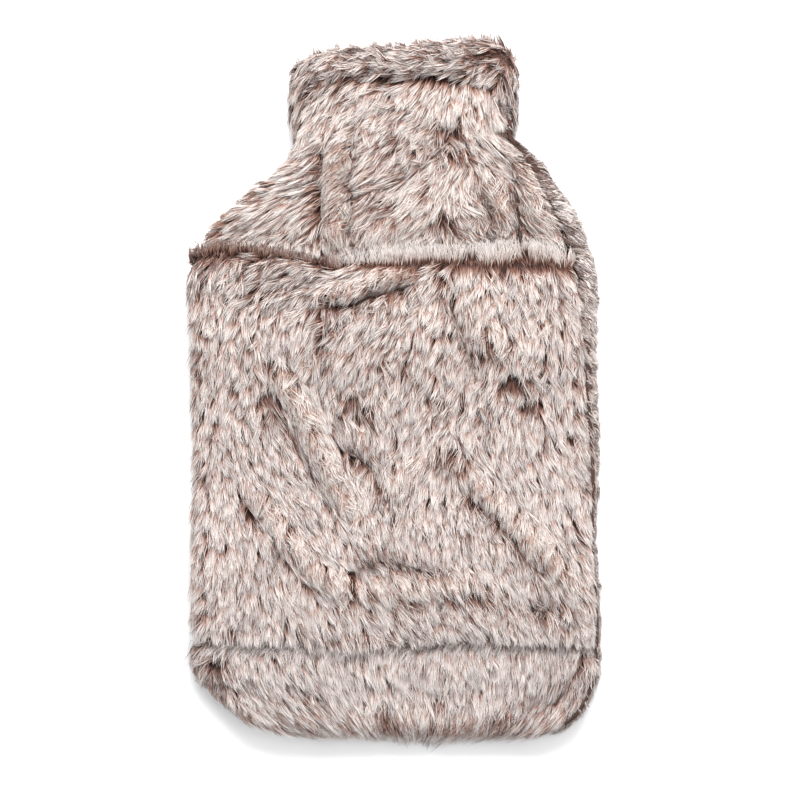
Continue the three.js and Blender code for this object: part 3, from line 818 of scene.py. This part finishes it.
def front_points(ys, left_of, right_of, wrap_of, face_of, shift_of, columns):
    """Rows of a front panel's backing: up round the left side, across, and into the right seam."""
    grid = []
    for y in ys:
        left, right = left_of(y), right_of(y)
        start = left + SIDE_ROUND
        turn = np.radians(np.minimum(np.linspace(WRAP_FROM, WRAP_TO, WRAP_COLUMNS), wrap_of(y)))
        top = face_of(np.array([start]), shift_of(np.array([start]), y))[0]
        radius = SIDE_ROUND - SIDE_DEPTH
        sine = np.sin(turn)
        low = min(SEAM_LEVEL, top)
        wrap_z = np.where(
            sine > 0, (top + low) / 2 + (top - low) / 2 * sine, (top + low) / 2 * (1 + sine)
        )
        wrap_x = start + radius * np.cos(turn)
        key = np.where(sine > 0, wrap_x, left)
        across = np.linspace(start, right - TUCK_START, columns)
        tuck = right - TUCK_AT
        x = np.concatenate([wrap_x, across, tuck])
        y_of = shift_of(np.concatenate([key, across, tuck]), y)
        z_across = face_of(across, shift_of(across, y))
        z_tuck = z_across[-1] - TUCK_DROP
        z = np.concatenate([np.maximum(wrap_z, low + 0.6), z_across, z_tuck])
        grid.append(np.stack([x, y_of, z], axis=1))
    return np.array(grid)


def even_rows(start, stop):
    """Heights about a cell apart, from start down to stop."""
    return np.linspace(start, stop, round(abs(stop - start) / CELL) + 1)


def yoke_shift(x, y):
    """Rows bend towards the neck, until the last one follows its arch."""
    arch = along(NECK_ARCH, 1, x) - 1
    return y - (NECK_TOP - arch) * step(y, NECK_TOP - 50, NECK_TOP)


def yoke_face(x, y):
    """The backing's height: the folds, pressed flat where the middle panel lies on them."""
    pressed = step(along(MIDDLE_TOP, 1, x) + 15 - y, 0, 9)
    cloth = FRONT_CLOTH + (PRESSED_CLOTH - FRONT_CLOTH) * pressed
    lift = fold_lift(YOKE_FOLDS, x, y) * (1 - 0.7 * pressed)
    return FRONT_FLOOR + np.maximum(cloth - PILE_DEPTH + lift, DEEPEST)


yoke_skin = Skin(
    front_points(
        even_rows(NECK_TOP - 1, YOKE_HIDDEN_EDGE + 1),
        left_of=lambda y: max(left_at(y), left_at(60) + YOKE_INSET),
        right_of=lambda y: seam_at(y) - SEAM_GAP,
        wrap_of=lambda y: WRAP_FROM - WRAP_HIDDEN * step(95 - y, 0, 13),
        face_of=yoke_face,
        shift_of=yoke_shift,
        columns=58,
    )
)
yoke_panel = backing("yoke_backing", yoke_skin.points, knit)


def spot_weight(tufts, x, y, reach=3.0):
    """How much each place takes of the tufts' shown roots and painted shade."""
    return sum(share * np.exp(-((np.hypot(x - a, y - b) / reach) ** 2)) for a, b, share in tufts)


def front_comb(nap, partings, tufts, seed):
    """The comb of a front panel: its nap, turned along its partings and swirled a little.

    The nearer the neck, the more the pile is rumpled by handling, and the paler it is painted, as
    light.
    """

    def comb(root, normal):
        x, y = root[:, 0], root[:, 1]
        count = len(x)
        side_wall = step(0.8 - normal[:, 2], 0, 0.5)
        toward_neck = step(y, -90, 130)  # from near the bottom up to the neck
        rough = rng.uniform(0.74 - 0.14 * toward_neck, 1.24 + 0.08 * toward_neck, count)
        height = 5.0 * (1 + 0.16 * waves(x, y, 9, seed + 1)) * rough
        lean = combed(nap, x, y)
        bold = np.zeros(count)  # how near a parting is
        for line in partings:
            away, side = beside(x, y, line.path)
            bold = np.maximum(bold, line.share * np.exp(-((away / 8) ** 2)))
            pull = np.exp(-((away / line.reach) ** 2))
            if line.leans:
                turned = np.where(side > 0, line.leans[1], line.leans[0])
                lean = lean + (turned - lean) * pull
            if line.fan:
                middle = (line.path[0][0] + line.path[-1][0]) / 2
                lean = lean + line.fan * np.clip((x - middle) / 5, -1.4, 1.4) * pull
        swirl = (14 + 10 * toward_neck + 6 * bold) * waves(x, y, 13, seed)
        swirl = swirl + (6 + 7 * toward_neck + 7 * bold) * rng.normal(0, 1, count)
        open_spot = spot_weight(tufts, x, y)
        # Painted light: towards the neck and on the side wall the pile is painted paler; on the
        # side wall fewer of its hairs are dark and their roots start paler.
        pale = 0.19 + 0.06 * side_wall + 0.36 * toward_neck**2
        pale = pale + 0.1 * waves(x, y, 26, seed + 2) + 0.08 * waves(x, y, 11, seed + 3)
        often_dark = 0.04 + 0.04 * toward_neck - 0.03 * side_wall
        return {
            "lean": lean + swirl,
            "length": rng.uniform(9.5, 14.5, count) * (1 - 0.2 * side_wall),
            "height": height * (1 - 0.6 * side_wall),
            "shade": np.clip(pale + 0.7 * rng.beta(2.6, 1.5, count), 0, 1),
            # Painted shade: near a parting more hairs are dark, and there and towards the neck the
            # locks' flanks are painted darker (split).
            "dark": np.clip(often_dark + 0.14 * bold + 0.3 * open_spot, 0, 1),
            "bare": np.clip(open_spot, 0, 1),
            "from_v": 0.22 * side_wall,
            "split": 0.38 + 0.3 * toward_neck + 0.4 * bold,
        }

    return comb


def above_hem(p, n):
    """Where the yoke shows. More locks grow on the side, where its pile is seen edge on."""
    shows = p[:, :, 1] > along(MIDDLE_TOP, 1, p[:, :, 0]) - 0.5
    return shows * (1 + 0.8 * (n[:, :, 2] < SIDE_WALL))


yoke_pile = grow(
    "yoke_pile",
    yoke_skin,
    locks=2250,
    comb=front_comb(YOKE_NAP, YOKE_PARTINGS, YOKE_TUFTS, 40),
    keep=above_hem,
    partings=YOKE_PARTINGS + [HEM_PARTING, SEAM_PARTING],
    folds=YOKE_FOLDS,
)
stands_for("yoke_panel")

# -------------------------------------------------------- The middle panel
# A broad band of the same fur across the front, its top and bottom edges turned in and lying over
# the panels beside it. The pile stands up along the top fold, so its brown roots show below it.
MIDDLE_ENDS = (77, -136)  # its top and bottom fold, about
MIDDLE_ROWS = (75.2, -129)  # the backing's first and last row
MIDDLE_SPLIT = -30  # its pile is made as two pieces, above and below this
MIDDLE_CLOTH = 1.3
BOTTOM_HIDDEN_EDGE = -94.0
LAP_SETTLE = 44.0  # how far in from a hidden edge the panel comes back down to the floor
HEM_ROUND = 1.5
HEM_TURN = 4  # rows of cloth turned in
HEM_RAISE = 3.4  # a turned-in hem is this plump at the top, and less at the bottom
HEM_RAISE_LESS = 3.0
NOTCH = -27.5  # where the yoke's long fold dents the top fold
# The middle panel's bottom fold, left to right, x then y.
MIDDLE_BOTTOM = [
    (-110, -132.5), (-80, -134.5), (-56, -135), (-48, -137.5), (0, -137), (14, -135), (110, -136),
]
MIDDLE_FOLDS = [
    Fold(5.6, 3.6, [(-43, 47), (-32, 51.5), (-20, 54), (-4, 60), (6, 63)]),
    Fold(-9.0, 3.0, [(-36, 47), (-27, 46), (-20, 48), (-10, 52), (8, 57)]),
    Fold(6.6, 3.2, [(-63, 14), (-56, 1), (-48, -12), (-39, -31), (-30, -52), (-17, -70)]),
    Fold(-1.4, 4.0, [(-67, -3), (-57, -19), (-50, -33), (-40, -54), (-28, -74)]),
    Fold(4.8, 3.8, [(-79, -50), (-65, -64), (-47, -89), (-34, -100), (-22, -106)]),
    Fold(-1.4, 4.0, [(-83, -54), (-76, -62), (-69, -73), (-58, -88), (-50, -99)]),
    Fold(-4.4, 4, [(-32, -31), (-20, -34), (-11, -44)]),
    Fold(3.0, 6, [(-8, -53), (8, -42), (26, -29)]),
    Fold(5.6, 3.6, [(26, -29), (43, -48), (55, -59), (70, -75), (83, -88), (97, -105)]),
    Fold(-2.0, 4.6, [(36, -54), (49, -66), (60, -78), (70, -90), (80, -100)]),
    Fold(-3.6, 4, [(-23, -96), (-5, -90), (21, -97)]),
    Fold(3.4, 4.4, [(-22, -104), (13, -105), (42, -103), (58, -107)]),
    Fold(-3.4, 4, [(69, -114), (88, -117)]),
    Fold(-3.4, 5, [(26, 50), (36, 28), (44, 8)]),
    Fold(3.0, 5.5, [(42, 52), (50, 34), (58, 18)]),
]
MIDDLE_NAP = [
    (-103, 59, -10), (-82, 59, -37), (-61, 59, -56), (-40, 56, -62), (-18, 59, -64),
    (24, 56, -37), (45, 56, 10), (66, 56, -8), (87, 56, 24), (103, 56, 14),
    (-103, 27, -20), (-82, 27, -5), (-61, 27, 26), (-40, 27, -30), (-18, 27, -40), (3, 27, -22),
    (24, 27, -30), (45, 32, 15), (66, 27, -34), (87, 27, 10), (103, 20, 6),
    (-103, -5, -19), (-82, -5, -19), (-50, -5, 5), (-18, -5, 22), (3, -5, -5), (24, -5, -17),
    (66, -5, -16), (87, -5, -5), (103, -10, 8),
    (-82, -26, 21), (-61, -26, 32), (-40, -31, 32), (3, -26, -22), (24, -26, -26), (66, -26, 30),
    (87, -31, 16), (-103, -47, -23), (-82, -52, 30), (-40, -47, 34), (-18, -52, 15),
    (13, -52, -14), (45, -47, 29), (66, -47, -7), (87, -52, 22), (103, -52, 18),
    (-103, -72, -20), (-82, -74, 10), (-61, -74, 34), (-29, -74, 25), (3, -68, 4), (24, -68, -3),
    (45, -74, 8), (66, -74, 23), (87, -74, 25),
    (-103, -95, -16), (-82, -95, -5), (-61, -90, 28), (-29, -95, 28), (3, -95, 35),
    (24, -95, 35), (45, -90, -12), (77, -95, 22), (103, -95, 16),
    (-103, -112, -17), (-82, -112, -14), (-61, -112, 15), (-40, -112, 34), (3, -112, 35),
    (45, -112, 40), (66, -112, 30), (87, -112, 28),
    (-103, -131, -14), (-61, -132, 0), (-29, -132, 14), (24, -132, 20), (66, -132, -6),
    (92, -132, 2),
]
MIDDLE_PARTINGS = [
    Parting(
        [(-36, 47.5), (-27, 46.4), (-20, 48.6), (-10, 52.4), (0, 55.4), (9, 57.6)],
        share=1.0, bare=7.0, fade=0.8, leans=(-4, -66), whole=True,
    ),
    Parting(
        [(-67, -3), (-57, -19), (-52, -32), (-38, -55), (-26, -75)],
        share=0.25, bare=2.6, leans=(2, 34), reach=5,
    ),
    Parting(
        [(-83, -54), (-76, -62), (-69, -73), (-59, -86), (-48, -98)],
        share=0.25, bare=2.6, leans=(2, 34), reach=5,
    ),
    Parting([(-28, -33), (-20, -35), (-12, -37)], fan=20),
    Parting([(-12, -38), (-8, -45), (-4, -54)], leans=(-20, 10)),
    Parting([(20, -33), (26, -29), (32, -33), (36, -38)], share=0.6, fan=12, reach=9),
    Parting([(38, -53), (46, -60), (53, -65)], share=0.85, bare=3.2, leans=(0, -18)),
    Parting([(54, -69), (62, -75), (66, -81), (70, -86)], share=0.95, bare=3.6, leans=(2, -26)),
    Parting([(-29, 0), (-24, -1), (-19, -1)], share=0.85, fan=22),
    Parting([(-19, -8), (-13, -9)], fan=20),
    Parting([(20, -2), (26, -5)]),
    Parting([(-36, 36), (-31, 37), (-26, 36)], fan=20),
    Parting([(-39, 25), (-36, 23)]),
    Parting([(-5, 16), (0, 18), (3, 21)], fan=-20),
    Parting([(-70, 52), (-66, 53)], share=0.85, fan=25),
    Parting([(-68, 20), (-62, 16)]),
    Parting([(-71, 0), (-67, 1), (-63, -2)], share=0.9, bare=3.2, fan=28),
    Parting([(47, 29), (52, 26), (55, 22)]),
    Parting([(58, 8), (62, 9), (67, 8)], share=0.95, fan=30, reach=8),
    Parting([(70, 0), (75, -2)], share=0.85, fan=20),
    Parting([(50, -4), (53, -10)]),
    Parting([(-8, -90), (2, -92), (8, -94), (16, -97), (24, -94)], share=0.85, bare=3.0),
    Parting([(-24, -93), (-24, -105)], leans=(-15, 15)),
    Parting([(22, -106), (31, -105), (42, -105), (56, -109)], share=0.85, leans=(0, 30)),
    Parting([(-2, -108), (15, -109)], share=0.7),
    Parting([(69, -113), (79, -118)], share=0.85, bare=3.0),
    Parting([(85, -112), (90, -118)], share=0.85),
    Parting([(-51, -127.5), (-30, -128.2), (6, -127)], bare=1.6),
    Parting([(-90, -123), (-84, -127)], bare=2.4),
]
MIDDLE_TUFTS = [
    (62.5, 8.5, 1.2), (72.5, -2.5, 0.7), (53, 29, 0.6), (45.5, -10, 0.5), (-24, -34, 0.5),
    (-17.5, -38, 0.5), (28, -33, 0.5), (-65.5, -5, 0.6), (-55.5, -19, 0.8), (-80, -56.5, 0.8),
    (-37, 39, 0.5), (-37, 24, 0.5), (-18.5, -7.5, 0.5), (-28.5, 0, 0.5), (65.5, -82.5, 0.6),
    (86, -118.5, 0.5),
]
# The line along which the pile parts below the top fold, and shows its brown roots.
ROOT_LINE = [
    (-110, 67), (-103, 72.5), (-80, 73), (-60, 71.5), (-42, 68.5), (-31, 65.5), (-24, 67), (0, 68),
    (28, 69.5), (55, 68.2), (84, 68), (96, 66),
]
JUST_ABOVE = [(x, y + 0.6) for x, y in ROOT_LINE]
ROOT_PARTING = Parting(JUST_ABOVE, share=1.0, bare=2.2, down_only=True, whole=True)


def middle_shift(x, y):
    """Rows bend towards both hems, until the last ones follow them."""
    top, bottom = MIDDLE_ENDS
    up = (along(MIDDLE_TOP, 1, x) - top) * step(y, top - 42, top)
    down = (along(MIDDLE_BOTTOM, 1, x) - bottom) * step(-y, -bottom - 21, -bottom)
    return y + up + down


def middle_face(x, y):
    """The backing's height: the folds, raised over the panels beside it and plump at the hems."""
    over_yoke = step(y, YOKE_HIDDEN_EDGE - LAP_SETTLE, YOKE_HIDDEN_EDGE - 2)
    over_bottom = step(-y, -BOTTOM_HIDDEN_EDGE - LAP_SETTLE, -BOTTOM_HIDDEN_EDGE - 2)
    floor = FRONT_FLOOR + (LAP_FLOOR - FRONT_FLOOR) * np.maximum(over_yoke, over_bottom)
    hem = np.minimum(along(MIDDLE_TOP, 1, x) - y, y - along(MIDDLE_BOTTOM, 1, x))
    flat = step(18 - hem, 0, 10)
    body = FRONT_CLOTH - PILE_DEPTH + fold_lift(MIDDLE_FOLDS, x, y) * (1 - 0.6 * flat)
    raised = HEM_RAISE - HEM_RAISE_LESS * step(-y, 118, 134)
    return floor + np.maximum(body, DEEPEST) * (1 - flat) + np.maximum(body, raised) * flat


def turned_in(skin, at_top):
    """The rows of an edge turned in: round the fold, then back underneath the face."""
    last = 0 if at_top else skin.points.shape[0] - 1
    inward = 1 if at_top else -1
    edge, normal = skin.points[last], skin.normal[last]
    outward = -unit(skin.down[last]) * inward
    rows = []
    for angle in np.radians([36, 72, 108, 144]):
        drop = HEM_ROUND * (1 - math.cos(angle))
        rows.append(edge - normal * drop + outward * HEM_ROUND * math.sin(angle))
    for n in range(HEM_TURN):
        face, face_normal = skin.points[last + n * inward], skin.normal[last + n * inward]
        rows.append(face - face_normal * 2 * HEM_ROUND)
    return np.array(rows[::-1] if at_top else rows)


middle_skin = Skin(
    front_points(
        even_rows(*MIDDLE_ROWS),
        left_of=lambda y: left_at(min(y, 66)),
        right_of=lambda y: seam_at(y) - SEAM_GAP,
        wrap_of=lambda y: WRAP_FROM,
        face_of=middle_face,
        shift_of=middle_shift,
        columns=66,
    )
)
top_hem, bottom_hem = turned_in(middle_skin, True), turned_in(middle_skin, False)
middle_panel = backing(
    "middle_backing",
    np.concatenate([top_hem, middle_skin.points, bottom_hem]),
    knit,
    thickness=MIDDLE_CLOTH,
)
middle_nap_comb = front_comb(MIDDLE_NAP, MIDDLE_PARTINGS, MIDDLE_TUFTS, 60)


def middle_comb(root, normal):
    """The middle panel's nap, turned up along the top fold and short at the bottom one."""
    style = middle_nap_comb(root, normal)
    x, y = root[:, 0], root[:, 1]
    count = len(x)
    to_edge = along(MIDDLE_TOP, 1, x) - y
    above_end = y - along(MIDDLE_BOTTOM, 1, x)
    up = y > along(ROOT_LINE, 1, x) - 0.8 + 0.9 * waves(x, y, 9, 77)
    drooped = 1 - 0.45 * step(14 - above_end, 0, 10)
    split = np.exp(-(((x - NOTCH) / 3.0) ** 2)) * np.sign(x - NOTCH)
    standing = 172 - 30 * split + 9 * waves(x, y, 12, 78) + rng.normal(0, 9, count)
    style["lean"] = np.where(up, standing, style["lean"])
    style["length"] = np.where(
        up,
        np.clip(to_edge + rng.uniform(0.2, 1.6, count), 2.5, 10),
        np.minimum(style["length"], above_end + 1.0),
    )
    style["height"] = np.where(up, 3.6 * rng.uniform(0.9, 1.2, count), style["height"] * drooped)
    # The standing hairs along the top fold are pale at the tip, and painted paler still, with few
    # dark ones, as the light on the fold's roll.
    style["shade"] = np.where(up, rng.uniform(0.85, 1.0, count), style["shade"])
    style["dark"] = np.where(up, 0.04, style["dark"])
    style["from_v"] = np.where(up, 0.18 + 0.09 * np.clip(7 - to_edge, 0, 6), style["from_v"])
    style["gather"] = np.where(up, 0.3, 0.86)
    style["split"] = np.where(up, 0.1, style["split"])
    left_of_notch = step(NOTCH - x, -2, 4)
    style["from_v"] = style["from_v"] * (1 - 0.75 * left_of_notch * up)
    style["bare"] = np.where(up, 0.75 * left_of_notch, style["bare"])
    # Below the top fold, left of the notch, more of the lying hairs are dark: painted shade under
    # the fold.
    style["dark"] = style["dark"] + 0.26 * left_of_notch * step(y, 46, 60) * (1 - up)
    return style


def middle_weight(p, n):
    """How thickly the locks are rooted: most along the line below the top fold."""
    above_line = p[:, :, 1] - along(ROOT_LINE, 1, p[:, :, 0])
    on_line = 4.6 * np.exp(-(((above_line - 0.4) / 1.5) ** 2))
    by_line = np.where(above_line > -1.5, 0.5 + on_line, 1.0)
    return by_line * (1 + 0.8 * (n[:, :, 2] < SIDE_WALL))


middle_top_pile = grow(
    "middle_top_pile",
    middle_skin,
    locks=2450,
    comb=middle_comb,
    keep=lambda p, n: (p[:, :, 1] > MIDDLE_SPLIT) * middle_weight(p, n),
    partings=MIDDLE_PARTINGS + [ROOT_PARTING, SEAM_PARTING],
    folds=MIDDLE_FOLDS,
)
middle_low_pile = grow(
    "middle_low_pile",
    middle_skin,
    locks=2450,
    comb=middle_comb,
    keep=lambda p, n: (p[:, :, 1] <= MIDDLE_SPLIT) * middle_weight(p, n),
    partings=MIDDLE_PARTINGS + [SEAM_PARTING],
    folds=MIDDLE_FOLDS,
)
stands_for("middle_panel")

# -------------------------------------------------------- The bottom panel
# The rounded lower end of the front, of the same fur. Its upper edge lies under the middle panel,
# and its pile fans out at the corners and hangs over the bottom seam.
BOTTOM_INSET = 4.5  # from the outline's bottom end, pile and all, to the backing
BOTTOM_SEAM_GAP = 1.4  # from the rolled seam to the panel's edge
BOTTOM_FOOT = SEAM_LEVEL + 1.4  # how high the backing's lower edge lies
DRAWN_IN = (-139, -132)  # where the left edge draws in to go under the middle panel
BOTTOM_FOLDS = [
    Fold(-1.8, 6, [(-98, -142), (-92, -160)]),
    Fold(-2.2, 7, [(97, -148), (88, -166), (64, -172)]),
]
BOTTOM_NAP = [
    (-105, -146, -62), (-96, -146, -40), (-88, -146, 5), (-103, -156, -50), (-92, -157, -30),
    (-80, -150, 10), (-61, -150, 8), (-40, -152, 0), (-18, -152, -8), (3, -152, -10),
    (24, -152, -5), (45, -152, 2), (66, -152, 12), (84, -150, -22), (98, -150, 20),
    (-92, -168, -38), (-80, -172, -14), (-61, -176, 4), (-40, -180, 8), (-18, -174, -16),
    (3, -174, -20), (24, -174, -14), (45, -174, 14), (66, -174, 12), (87, -170, 0),
    (100, -164, 28),
]
BOTTOM_PARTINGS = [
    Parting([(-104, -136), (-56, -137.6), (0, -139.5), (14, -137.4), (106, -138.4)], share=0.0),
    Parting([(-94, -140), (-92, -147), (-89, -154)], bare=2.6, leans=(-46, 6)),
    Parting([(98, -140), (94, -150), (87, -160)], share=0.4, bare=1.6, leans=(-16, 24)),
    Parting([(-8, -166), (-5, -168), (-3, -172)], share=0.9, bare=3.5, fan=20, whole=True),
    Parting([(20, -160), (26, -162)], share=0.9),
    Parting([(-52, -158), (-46, -160)], share=0.9),
    Parting([(58, -168), (64, -170)], share=0.9),
]
BOTTOM_TUFTS = [(-6, -169, 0.8), (64, -169, 0.7), (-95, -144, 0.2), (-70, -157, 0.4)]


def bottom_face_at(row_y):
    """The backing's height in one row: pressed under the hem, and rounded off at the end."""

    def face(x, y):
        pressed = step(y, -144, -134)
        cloth = FRONT_CLOTH + (PRESSED_CLOTH - FRONT_CLOTH) * pressed
        lift = fold_lift(BOTTOM_FOLDS, x, y) * (1 - pressed)
        body = cloth - PILE_DEPTH + lift
        low = rise(row_y - (BOTTOM_END + BOTTOM_INSET), END_ROUND - 3)
        return BOTTOM_FOOT + (FRONT_FLOOR + body - BOTTOM_FOOT) * low

    return face


def bottom_row(y):
    """One row of the backing."""
    hidden = step(y, *DRAWN_IN)
    return front_points(
        [y],
        left_of=lambda y: left_at(y) + hidden * YOKE_INSET,
        right_of=lambda y: seam_at(y) - BOTTOM_SEAM_GAP,
        wrap_of=lambda y: WRAP_FROM - WRAP_HIDDEN * hidden,
        face_of=bottom_face_at(y),
        shift_of=lambda x, y: np.full(np.shape(x), y),
        columns=66,
    )


bottom_rows = even_rows(BOTTOM_HIDDEN_EDGE - 1, BOTTOM_END + BOTTOM_INSET)
bottom_skin = Skin(np.concatenate([bottom_row(y) for y in bottom_rows]))
bottom_panel = backing("bottom_backing", bottom_skin.points, knit)
bottom_nap_comb = front_comb(BOTTOM_NAP, BOTTOM_PARTINGS, BOTTOM_TUFTS, 80)


def bottom_comb(root, normal):
    """The bottom panel's nap, shorter towards the bottom seam and deeper below the hem."""
    style = bottom_nap_comb(root, normal)
    near_end = step(BOTTOM_END + 20 - root[:, 1], 0, 14)
    style["length"] = style["length"] * (1 - 0.2 * near_end)
    style["height"] = style["height"] + 2.6 * step(root[:, 1], -153, -141)
    return style


bottom_pile = grow(
    "bottom_pile",
    bottom_skin,
    locks=1900,
    comb=bottom_comb,
    keep=lambda p, n: (p[:, :, 1] < -121) * (1 + 0.6 * (n[:, :, 2] < SIDE_WALL)),
    partings=BOTTOM_PARTINGS + [SEAM_PARTING],
    folds=BOTTOM_FOLDS,
)
stands_for("bottom_panel")

# -------------------------------------------------------- The neck cuff
# The top of the neck, turned in and stitched, so it stands as a plump rolled band round the mouth.
# Its pile leans over to the left along the band and over the rim.
CUFF_TOP = [(-55, 168), (-50, 175), (-42, 179), (0, 183.5), (38, 187.4), (54, 186.5), (65, 180)]
CUFF_INSET = 4.2  # from the top edge, pile and all, to the backing
CUFF_ROUND = 9.0  # how its two sides round off
CUFF_CREST = FRONT_FLOOR + FRONT_CLOTH - 1.9  # the band stands a little proud of the front
CUFF_ROWS = 12
CUFF_COLUMNS = 28  # across its front, and across its back
CUFF_LEVEL = 150  # where on the outline its width is taken
CUFF_NAP = [
    (-56, 150, -40), (-56, 164, -54), (-50, 176, -80), (-36, 171, -66), (-36, 181, -104),
    (-18, 172, -78), (-18, 184, -112), (3, 172, -84), (3, 185, -116), (24, 173, -96),
    (24, 187, -122), (42, 176, -100), (42, 188, -122), (51, 188, -120), (59, 187, -135),
    (64, 180, 75), (63, 170, 20), (61, 158, 6), (60, 150, 4), (50, 170, -30), (54, 163, 5),
]
CUFF_PARTINGS = [
    Parting([(-4, 176.5), (12, 177.5), (30, 177)], share=1.0, bare=5.0, whole=True),
    Parting([(-30, 168.5), (-22, 170), (-14, 169)], share=1.0, bare=5.0, whole=True),
    Parting([(46, 174), (51, 178), (56, 179), (60, 175)], share=1.0, bare=6.0, whole=True),
    Parting([(-47, 158), (-44, 166), (-36, 170)], share=1.0, bare=4.5, whole=True),
]
CUFF_TUFTS = [(47, 177, 1.0), (54, 174, 0.6), (-38, 169, 0.5)]
OVER_THE_RIM = -0.2  # cloth whose normal points further down than this is behind the rim


def cuff_points():
    """Rows from the top edge down to the stitching; columns round the neck, from the left top."""
    turns = np.radians(np.linspace(90, 270, 17))[1:-1]
    start = left_at(CUFF_LEVEL) + 1.5 + CUFF_ROUND
    end = right_at(CUFF_LEVEL) - 2.5 - CUFF_ROUND
    left_side = [(start + CUFF_ROUND * math.cos(a), math.sin(a)) for a in turns]
    right_side = [(end - CUFF_ROUND * math.cos(a), -math.sin(a)) for a in turns]
    back = [(x, -1.0) for x in np.linspace(start, end, CUFF_COLUMNS)]
    front = [(x, 1.0) for x in np.linspace(end, start, CUFF_COLUMNS)]
    loop = [(start, 1.0)] + left_side + back + right_side + front
    grid = []
    for s in np.linspace(1, 0, CUFF_ROWS):
        row = []
        # The band swells from its rim and draws in a little again at the stitching.
        puff = 0.72 + 0.28 * rise(1 - s, 0.45) if s > 0.5 else 1.0 - 0.1 * (1 - s / 0.5) ** 2
        for x, sine in loop:
            base = along(NECK_ARCH, 1, x) if sine > 0 else BACK_TOP
            low_y = max(float(base), BACK_TOP) + 0.8
            y = low_y + (float(along(CUFF_TOP, 1, x)) - CUFF_INSET - low_y) * s
            middle = CUFF_CREST / 2
            swing = CUFF_CREST * puff - middle if sine > 0 else middle - BACK_LEVEL
            z = middle + swing * sine
            row.append((x, y, z))
        grid.append(row)
    return np.array(grid)


cuff_skin = Skin(cuff_points(), sample=(6, -10))
neck_cuff = backing("cuff_backing", cuff_skin.points, knit, ring=True)


def cuff_comb(root, normal):
    """The band's nap. Its columns run leftwards over the front, so its leans are mirrored."""
    x, y = root[:, 0], root[:, 1]
    count = len(x)
    lean = combed(CUFF_NAP, x, y, 9) + 26 * waves(x, y, 12, 90) + rng.normal(0, 18, count)
    front = normal[:, 2] > OVER_THE_RIM
    opened = spot_weight(CUFF_TUFTS, x, y)
    return {
        "bare": np.clip(opened, 0, 1),
        "lean": np.where(front, -lean, 180 + rng.normal(0, 12, count)),
        "length": rng.uniform(8, 12.5, count),
        "height": 5.2 * rng.uniform(0.4, 1.3, count),
        "shade": np.clip(0.28 + 0.7 * rng.beta(1.8, 1.0, count) + 0.12 * waves(x, y, 12, 91), 0, 1),
        # More hairs are dark at its tufts, as painted shade in the opening.
        "dark": np.clip(0.2 + 0.4 * waves(x, y, 9, 92) + 0.4 * opened, 0.03, 0.9),
        # Its locks' flanks are painted darker than elsewhere, as the shade between them.
        "split": np.full(count, 1.5),
    }


cuff_pile = grow(
    "cuff_pile",
    cuff_skin,
    locks=920,
    comb=cuff_comb,
    keep=lambda p, n: 0.35 + 0.65 * (n[:, :, 2] > OVER_THE_RIM),
    partings=CUFF_PARTINGS,
    width=0.48,
    gather=0.92,
    patch=1.4,
)
stands_for(
    "neck_cuff"
)
